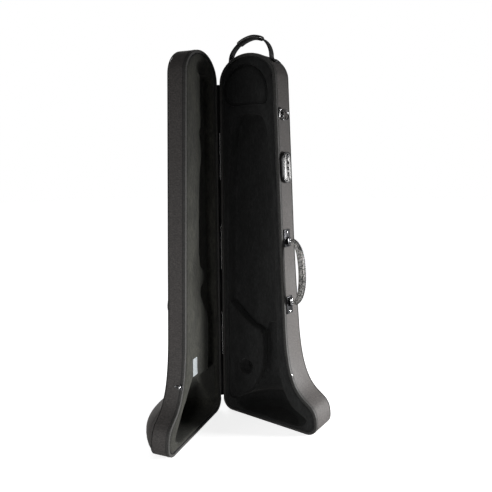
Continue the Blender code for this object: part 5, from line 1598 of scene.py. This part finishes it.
def round_plate(name, half_width, half_height, corner, low, high, steps=10):
    """A plate with round corners in a wall place: x is its thickness."""
    quarter = math.pi / 2
    loop = []
    for i, (sy, sz) in enumerate(((1, 1), (-1, 1), (-1, -1), (1, -1))):
        cy, cz = sy * (half_width - corner), sz * (half_height - corner)
        loop += [(cy + corner * math.cos(a), cz + corner * math.sin(a))
                 for a in np.linspace(i * quarter, (i + 1) * quarter, steps + 1)]
    points = [(x, y, z) for x in (low, high) for y, z in loop]
    count = len(loop)
    faces = [tuple(range(count)), tuple(range(count, 2 * count))]
    faces += [(i, (i + 1) % count, count + (i + 1) % count, count + i) for i in range(count)]
    return piece_of(name, points, faces, False)


def block_cutter(low, high):
    deselect()
    middle = (Vector(low) + Vector(high)) / 2
    bpy.ops.mesh.primitive_cube_add(size=1, location=middle)
    made = bpy.context.object
    made.scale = Vector(high) - Vector(low)
    return settle(made)


def rod_cutter(radius, low, high, place, sides=32):
    deselect()
    bpy.ops.mesh.primitive_cylinder_add(vertices=sides, radius=radius, depth=high - low,
                                        location=((low + high) / 2, place[0], place[1]),
                                        rotation=(0, math.pi / 2, 0))
    return settle(bpy.context.object)


# Hinge: knuckles, barrels and screws
KNUCKLES, HINGE_FROM, HINGE_TO = 7, 0.036, 0.854
BARREL_RADIUS, BARREL_FULL = 0.0028, 0.003
KNUCKLE_NEAR, KNUCKLE_SLIT = 0.0005, 0.00012
LEAF_THICK = 0.001
SCREWS, SCREW_LOW, SCREW_HIGH, SCREW_DEPTH = 14, 0.052, 0.838, 0.0135
SCREW_HEAD = ((0.0023, 0), (0.0023, 0.0002), (0.002, 0.00045), (0.0012, 0.0006),
              (0.0011, 0.00035), (0, 0.00035))


def close_barrels(leaf):
    """Lets the knuckles of a leaf nearly touch the other leaf, as rolled barrels do."""
    ends = [HINGE_FROM + k * (HINGE_TO - HINGE_FROM) / KNUCKLES for k in range(KNUCKLES + 1)]
    for v in leaf.data.vertices:
        away = Vector((v.co.x - HINGE_X, v.co.y - HINGE_Y))
        if not BARREL_RADIUS * 0.9 < away.length < BARREL_RADIUS * 1.02:
            continue
        away = away.normalized() * BARREL_FULL
        v.co.x, v.co.y = HINGE_X + away.x, HINGE_Y + away.y
        end = min(ends, key=lambda z: abs(z - v.co.z))
        if HINGE_FROM < end < HINGE_TO and abs(end - v.co.z) < KNUCKLE_NEAR:
            v.co.z = end + math.copysign(KNUCKLE_SLIT / 2, v.co.z - end)


class CASE_OT_hinge(bpy.types.Operator):
    """Long hinge with its leaves, pin and screws"""
    bl_idname = "case.hinge"
    bl_label = "Hinge"

    def execute(self, context):
        for side in (BASE, LID):
            leaf = refined("hinge_leaf_" + SIDE_NAME[side], BODY[side], "hinge_metal",
                           look_of("hinge_metal"), 0.0001)
            close_barrels(leaf)
        refined("hinge_pin", "base", "hinge_metal", look_of("hinge_metal"), 0.0001)
        face = HINGE_SIDE - GAP - LEAF_THICK
        for side in (BASE, LID):
            screw = turned("screw", SCREW_HEAD, Matrix.Identity(4), 14)
            places = []
            for k in range(SCREWS):
                z = SCREW_LOW + k * (SCREW_HIGH - SCREW_LOW) / (SCREWS - 1)
                out = half_matrix(side) @ Matrix.Translation((face, side * SCREW_DEPTH, z))
                places.append(out @ Matrix.Rotation(-math.pi / 2, 4, "Y"))
            made = repeated("hinge_screws_" + SIDE_NAME[side], screw, places)
            smooth_by_angle(made, 40)
            done(made, BODY[side], "hinge_metal", look_of("hinge_metal"))
        return {"FINISHED"}


# Lock: x out of the wall, y along the depth and z up, from the lock's middle on the wall
LOCK_DEPTH, LOCK_Z, LOCK_THICK = 0.0268, 0.65, 0.0085
LOCK_HALF_WIDTH, LOCK_HALF_HEIGHT, LOCK_CORNER = 0.018, 0.037, 0.0165
LOCK_CUT = 0.02
LOCK_BAY = (0.0013, -0.0062, -0.02025), (LOCK_CUT, 0.0062, 0.01625)
LOCK_FACE_HALF_WIDTH, LOCK_FACE_HALF_HEIGHT, LOCK_FACE_CORNER = 0.0145, 0.0335, 0.0138
LOCK_FACE_THICK = 0.0008
WINDOW_HALF_WIDTH, WINDOW_HALF_HEIGHT = 0.0045, 0.00425
SLOT_Y, SLOT_HALF_WIDTH, SLOT_LOW, SLOT_HIGH = 0.0065, 0.0015, -0.031, -0.024
SLOT_FLOOR, BUTTON_FLOOR = 0.003, 0.0025
DIAL_MIDDLE, DIAL_PITCH, DIAL_AXIS = -0.002, 0.014, 0.0063
DIAL_SIDES, DIAL_BORE, DIAL_GROOVE, DIAL_GROOVE_EVERY = 80, 0.002, 0.00035, 8
DIAL_PROFILE = ((0.0015, 0.00375), (0.0041, 0.00375), (0.0047, 0.00315),
                (0.0047, -0.00315), (0.0041, -0.00375), (0.0015, -0.00375))
BUTTON_Z, BUTTON_HOLE, BUTTON_RADIUS = 0.0275, 0.0045, 0.0042
BUTTON_FOOT, BUTTON_RISE = 0.0045, 0.0014
# Head of the button: radius, and how far below its top
BUTTON_HEAD = ((BUTTON_RADIUS, 0.0005), (0.0039, 0.0001), (0.003, 0), (0.0016, 0.0003),
               (0, 0.0004))


def lock_slots(low):
    """Cutters for the two slots that take the zip pullers."""
    return [block_cutter((low, s * SLOT_Y - SLOT_HALF_WIDTH, SLOT_LOW),
                         (LOCK_CUT, s * SLOT_Y + SLOT_HALF_WIDTH, SLOT_HIGH)) for s in (-1, 1)]


def knurled_dial(name):
    """A number wheel about its own z axis, with shallow grooves across its rim."""
    points = []
    for radius, height in DIAL_PROFILE:
        for k in range(DIAL_SIDES):
            angle = 2 * math.pi * k / DIAL_SIDES
            grooved = radius > DIAL_BORE and k % DIAL_GROOVE_EVERY in (0, 1)
            drawn = radius - (DIAL_GROOVE if grooved else 0)
            points.append((drawn * math.cos(angle), drawn * math.sin(angle), height))
    dial = piece_of(name, points, ring_faces(len(DIAL_PROFILE), DIAL_SIDES, True))
    smooth_by_angle(dial, 30)
    return dial


class CASE_OT_lock(bpy.types.Operator):
    """Combination lock with its plate, dials and button"""
    bl_idname = "case.lock"
    bl_label = "Combination lock"

    def execute(self, context):
        place = wall_frame(BASE, LOCK_DEPTH, LOCK_Z)
        high = GAP + LOCK_THICK
        body = round_plate("lock_housing", LOCK_HALF_WIDTH, LOCK_HALF_HEIGHT, LOCK_CORNER,
                           GAP, high)
        hole = rod_cutter(BUTTON_HOLE, BUTTON_FLOOR, LOCK_CUT, (0, BUTTON_Z))
        carve(body, [block_cutter(*LOCK_BAY), hole] + lock_slots(SLOT_FLOOR))
        soften(body, 0.0007, 3)
        settle(body, place)
        done(body, "base", "black_plastic", look_of("plastic"), "lock_body")

        low = high + GAP
        top = low + LOCK_FACE_THICK
        plate = round_plate("lock_plate", LOCK_FACE_HALF_WIDTH, LOCK_FACE_HALF_HEIGHT,
                            LOCK_FACE_CORNER, low, top, 14)
        cutters = [rod_cutter(BUTTON_HOLE, 0.0, LOCK_CUT, (0, BUTTON_Z))]
        for step in (-1, 0, 1):
            middle = DIAL_MIDDLE + step * DIAL_PITCH
            cutters.append(block_cutter((0.0, -WINDOW_HALF_WIDTH, middle - WINDOW_HALF_HEIGHT),
                                        (LOCK_CUT, WINDOW_HALF_WIDTH, middle + WINDOW_HALF_HEIGHT)))
        carve(plate, cutters + lock_slots(0.0))
        soften(plate, 0.0002)
        settle(plate, place)
        done(plate, "base", "chrome", look_of("lock_plate"), "lock_face")

        for number, step in ((1, -1), (2, 0), (3, 1)):
            dial = knurled_dial(f"knurled_dial_{number}")
            middle = DIAL_MIDDLE + step * DIAL_PITCH
            settle(dial, place @ Matrix.Translation((DIAL_AXIS, 0, middle)))
            done(dial, f"dial_{number}", "black_plastic", look_of("dial"),
                 f"lock_dial_{number}")
        refined("lock_shaft", "base", "dark_metal", look_of("dark_metal"), 0.0001)
        button_top = top + BUTTON_RISE
        profile = [(BUTTON_RADIUS, BUTTON_FOOT)]
        profile += [(radius, button_top - drop) for radius, drop in BUTTON_HEAD]
        button = turned("lock_button_turned", profile,
                        place @ Matrix.Translation((0, 0, BUTTON_Z)) @ ALONG_X)
        done(button, "release_button", "dark_metal", look_of("dark_metal"), "lock_button")
        return {"FINISHED"}


# Strap ring and its tab
TAB_THICK, TAB_RIVET_DEPTH, TAB_RIVET_RISE = 0.0016, 0.0149, 0.012
RING_Z, RING_RISE, RING_DEPTH, RING_REACH = 0.773, 0.0045, 0.0195, 0.033
RING_HALF_WIDTH, RING_BOW, RING_CORNER, RING_WIRE = 0.0112, 0.0125, 0.003, 0.0014


class CASE_OT_strap_ring(bpy.types.Operator):
    """Ring for a shoulder strap, on its sewn tab"""
    bl_idname = "case.strap_ring"
    bl_label = "Strap ring"

    def execute(self, context):
        place = wall_frame(BASE, 0, RING_Z)
        refined("ring_tab", "base", "leather", look_of("leather"), 0.0003)
        rivet("ring_rivet", place @ Matrix.Translation((GAP * 2 + TAB_THICK, TAB_RIVET_DEPTH,
                                                        TAB_RIVET_RISE)) @ ALONG_X)
        bend = RING_REACH - RING_DEPTH
        ring = [(0, 0, -RING_HALF_WIDTH)]
        ring += [(0, y, z) for y, z in arc(bend, 0, RING_BOW, RING_HALF_WIDTH,
                                           -math.pi / 2, math.pi / 2, 28)]
        ring += [(0, 0, RING_HALF_WIDTH)]
        made = tube_along("strap_ring_wire", filleted_line(ring, RING_CORNER), RING_WIRE, 14, True,
                          up=Vector((1, 0, 0)))
        settle(made, place @ Matrix.Translation((RING_RISE, RING_DEPTH, 0)))
        done(made, "strap_loop", "chrome", look_of("ring_wire"), "strap_ring")
        return {"FINISHED"}


def filleted_line(points, radius, steps=4):
    """A closed line in space whose sharp corners are drawn round."""
    made = []
    count = len(points)
    for i in range(count):
        here, before, after = (Vector(points[j]) for j in (i, i - 1, (i + 1) % count))
        if (here - before).angle(after - here) < math.radians(30):
            made.append(here)
            continue
        ends = [here + (other - here) * min(0.45, radius / (other - here).length)
                for other in (before, after)]
        made += [ends[0] * (1 - t) ** 2 + here * 2 * t * (1 - t) + ends[1] * t * t
                 for t in (k / steps for k in range(steps + 1))]
    return made


# Side handle: the grip's line in squares, out of the wall and up, and how full it is there
GRIP = (
    (0.153, -0.750), (0.175, -0.750), (0.220, -0.730), (0.280, -0.655), (0.340, -0.520),
    (0.385, -0.290), (0.400, 0.000), (0.385, 0.290), (0.340, 0.520), (0.280, 0.655),
    (0.220, 0.730), (0.175, 0.750), (0.153, 0.750),
)
GRIP_FULL = (0.0, 0.1, 0.3, 0.55, 0.8, 1.0, 1.0, 1.0, 0.8, 0.55, 0.3, 0.1, 0.0)
GRIP_THIN, GRIP_THICK = 0.0046, 0.0088
GRIP_WELT_RADIUS, WELT_SINK = 0.0015, 0.0004
GRIP_RIB, GRIP_RIB_PITCH = (0.0026, 0.0042, 0.0008), 0.0042
HANDLE_DEPTH, HANDLE_Z = 0.0225, 0.398
MOUNT_THICK, MOUNT_RIVET_Z = 0.0025, 0.0985


class CASE_OT_side_handle(bpy.types.Operator):
    """Carry handle on the latch side, with its mounts and end caps"""
    bl_idname = "case.side_handle"
    bl_label = "Side handle"

    def execute(self, context):
        place = wall_frame(BASE, HANDLE_DEPTH, HANDLE_Z)
        fine = smooth_line([(x * SQUARE, 0, z * SQUARE, GRIP_THIN + (GRIP_THICK - GRIP_THIN) * full)
                            for (x, z), full in zip(GRIP, GRIP_FULL)], 9)
        centres = [Vector(p[:3]) for p in fine]
        radii = [p[3] for p in fine]
        grip = tube_along("leather_grip", centres, radii, 26)
        settle(grip, place)
        done(grip, "carry_handle", "leather", look_of("grip"), "side_handle_grip")

        # Welt and ribs along the outer edge of the grip
        outer = []
        for i, centre in enumerate(centres):
            before, after = centres[max(0, i - 1)], centres[min(len(centres) - 1, i + 1)]
            way = (after - before).normalized()
            outer.append(centre + Vector((way.z, 0, -way.x)) * (radii[i] - WELT_SINK))
        welt = tube_along("grip_welt", outer[8:-8], GRIP_WELT_RADIUS, 10)
        settle(welt, place)
        done(welt, "carry_handle", "leather", look_of("leather"))
        rib = small_block(GRIP_RIB, 0.0003)
        places = []
        for spot, way in along(outer[10:-10], GRIP_RIB_PITCH):
            out = Vector((way.z, 0, -way.x))
            across = Vector((0, 1, 0))
            places.append(place @ axes_matrix(way, across, way.cross(across),
                                              spot + out * GRIP_WELT_RADIUS))
        done(repeated("grip_ribs", rib, places), "carry_handle", "leather", look_of("leather"))
        for spot, sign in (("lower", -1), ("upper", 1)):
            refined("side_mount_" + spot, "base", "dark_metal", look_of("mount"), 0.0003)
            refined("side_handle_end_" + spot, "carry_handle", "chrome", look_of("chrome"),
                    0.0003)
            rivet("side_rivet_" + spot, place @ Matrix.Translation(
                (GAP + MOUNT_THICK + GAP, 0, sign * MOUNT_RIVET_Z)) @ ALONG_X)
        return {"FINISHED"}


# Top handle: the strap's line is a share of the way between its feet and a rise in squares
FOOT_LEFT_W, FOOT_RIGHT_W = HINGE_SIDE + 0.012, SHOULDER_W - 0.0215
FOOT_HALF, PATCH_THICK = 0.009, 0.0018
STRAP_THICK, STRAP_WIDTH, STRAP_EDGE = 0.0022, 0.019, 0.0005
TOP_DEPTH = 0.03
STRAP = (
    (0.03, -0.08), (0.055, 0.05), (0.12, 0.17), (0.25, 0.30), (0.40, 0.375),
    (0.555, 0.40), (0.705, 0.355), (0.82, 0.265), (0.895, 0.14), (0.935, 0.0),
)
WRAP_ENDS, WRAP_END_RUN, WRAP_SIDES = (0.225, 0.735), 0.004, 28
WRAP_HALF_WIDTH, WRAP_HALF_THICK = 0.0122, 0.0056
WRAP_RIB, WRAP_RIB_PITCH, WRAP_RIB_SINK = 0.0004, 0.0031, 0.0003


def strap_point(across, rise):
    return (FOOT_LEFT_W + (FOOT_RIGHT_W - FOOT_LEFT_W) * across, HEIGHT + rise * SQUARE)


def crown_place(w):
    """A point on the case's crown and the way out of it, in w and z."""
    share = (w - TOP_MIDDLE_W) / TOP_HALF_WIDTH
    rise = math.sqrt(1 - share * share)
    out = Vector((share / TOP_HALF_WIDTH, rise / TOP_RISE)).normalized()
    return Vector((w, SHOULDER_Z + TOP_RISE * rise)), out


def foot_line(w, sign, lift):
    """Foot of the top handle: its outer end, inner end, inward way and outward way."""
    spot, out = crown_place(w)
    middle = spot + out * lift
    inward = Vector((out.y, -out.x)) * sign
    return middle - inward * FOOT_HALF, middle + inward * FOOT_HALF, inward, out


def ribbon(name, line_points, section):
    """A band along a line in w and z; the section is in depth and along the line's normal."""
    normals = left_normals([tuple(p) for p in line_points], False)
    points = []
    for (w, z), n in zip(line_points, normals):
        points += [(w + n.x * rise, TOP_DEPTH + depth, z + n.y * rise) for depth, rise in section]
    return piece_of(name, in_place(BASE, points), ring_faces(len(line_points), len(section)))


def ribbed_section(full, rib, sides):
    """One ring of the wrap: a flat oval with full sides, as depths and rises."""
    section = []
    for k in range(sides):
        angle = 2 * math.pi * k / sides
        c, s = math.cos(angle), math.sin(angle)
        section.append(((WRAP_HALF_WIDTH * full + rib) * math.copysign(abs(c) ** 0.75, c),
                        (WRAP_HALF_THICK * full + rib) * math.copysign(abs(s) ** 0.85, s)))
    return section


class CASE_OT_top_handle(bpy.types.Operator):
    """Strap handle on the top, with a leather wrap, patches and rivets"""
    bl_idname = "case.top_handle"
    bl_label = "Top handle"

    def execute(self, context):
        half, half_width = STRAP_THICK / 2, STRAP_WIDTH / 2
        left = foot_line(FOOT_LEFT_W, 1, GAP + half)
        right = foot_line(FOOT_RIGHT_W, -1, GAP + half)
        run = [left[0], left[1]] + [Vector(strap_point(*p)) for p in STRAP] + [right[1], right[0]]
        shoulder = half_width - STRAP_EDGE
        section = [(-half_width, -half * 0.5), (-shoulder, -half), (shoulder, -half),
                   (half_width, -half * 0.5), (half_width, half * 0.5), (shoulder, half),
                   (-shoulder, half), (-half_width, half * 0.5)]
        strap = ribbon("top_strap", smooth_line(run, 6), section)
        smooth_by_angle(strap, 50)
        done(strap, "base", "webbing", look_of("webbing"), "top_handle_strap")

        wrap_line = smooth_line([strap_point(*p) for p in STRAP], 24)
        start, stop = (strap_point(share, 0)[0] for share in WRAP_ENDS)
        wrap_line = [p for p in wrap_line if start <= p.x <= stop]
        wrap_line, lengths = path_frames(wrap_line)
        normals = left_normals([tuple(p) for p in wrap_line], False)
        points = []
        for spot, n, length in zip(wrap_line, normals, lengths):
            end = min(1, min(length, lengths[-1] - length) / WRAP_END_RUN)
            full = 0.72 + 0.28 * math.sqrt(max(0, 1 - (1 - end) ** 2))
            rib = WRAP_RIB * abs(math.sin(math.pi * length / WRAP_RIB_PITCH)) - WRAP_RIB_SINK
            points += [(spot.x + n.x * rise, TOP_DEPTH + depth, spot.y + n.y * rise)
                       for depth, rise in ribbed_section(full, rib, WRAP_SIDES)]
        wrap = piece_of("ribbed_wrap", in_place(BASE, points),
                        ring_faces(len(wrap_line), WRAP_SIDES))
        done(wrap, "base", "leather", look_of("wrap"), "top_handle_wrap")

        for spot, (end, _, inward, out) in (("left", left), ("right", right)):
            refined("top_patch_" + spot, "base", "leather", look_of("leather"), 0.0004, angle=50)
            at = end + inward * FOOT_HALF / 2 + out * (half + GAP + PATCH_THICK + GAP)
            x, y, z = in_place(BASE, [(at.x, TOP_DEPTH, at.y)])[0]
            tilt = math.atan2(out.x, out.y)
            head = Matrix.Translation((x, y, z)) @ Matrix.Rotation(tilt, 4, "Y")
            rivet("top_rivet_" + spot, head)
        return {"FINISHED"}


PIECES = (CASE_OT_stage, CASE_OT_covers, CASE_OT_zip, CASE_OT_base_lining, CASE_OT_lid_lining,
          CASE_OT_mouthpiece_block, CASE_OT_compartment_lid, CASE_OT_tag, CASE_OT_pocket,
          CASE_OT_hinge, CASE_OT_lock, CASE_OT_strap_ring, CASE_OT_side_handle,
          CASE_OT_top_handle)


class CASE_PT_sidebar(bpy.types.Panel):
    """Pieces and settings of the case"""
    bl_label = "Trombone case"
    bl_idname = "CASE_PT_sidebar"
    bl_space_type = "VIEW_3D"
    bl_region_type = "UI"
    bl_category = "Trombone case"

    def draw(self, context):
        settings = context.scene.case_settings
        for name in CaseSettings.__annotations__:
            self.layout.prop(settings, name)
        for piece in PIECES:
            self.layout.operator(piece.bl_idname)


def register():
    bpy.utils.register_class(CaseSettings)
    bpy.types.Scene.case_settings = bpy.props.PointerProperty(type=CaseSettings)
    for piece in PIECES:
        bpy.utils.register_class(piece)
    bpy.utils.register_class(CASE_PT_sidebar)


def unregister():
    bpy.utils.unregister_class(CASE_PT_sidebar)
    for piece in reversed(PIECES):
        bpy.utils.unregister_class(piece)
    del bpy.types.Scene.case_settings
    bpy.utils.unregister_class(CaseSettings)


def main():
    register()
    for piece in PIECES:
        getattr(bpy.ops.case, piece.bl_idname.split(".")[1])()


if __name__ == "__main__":
    main()
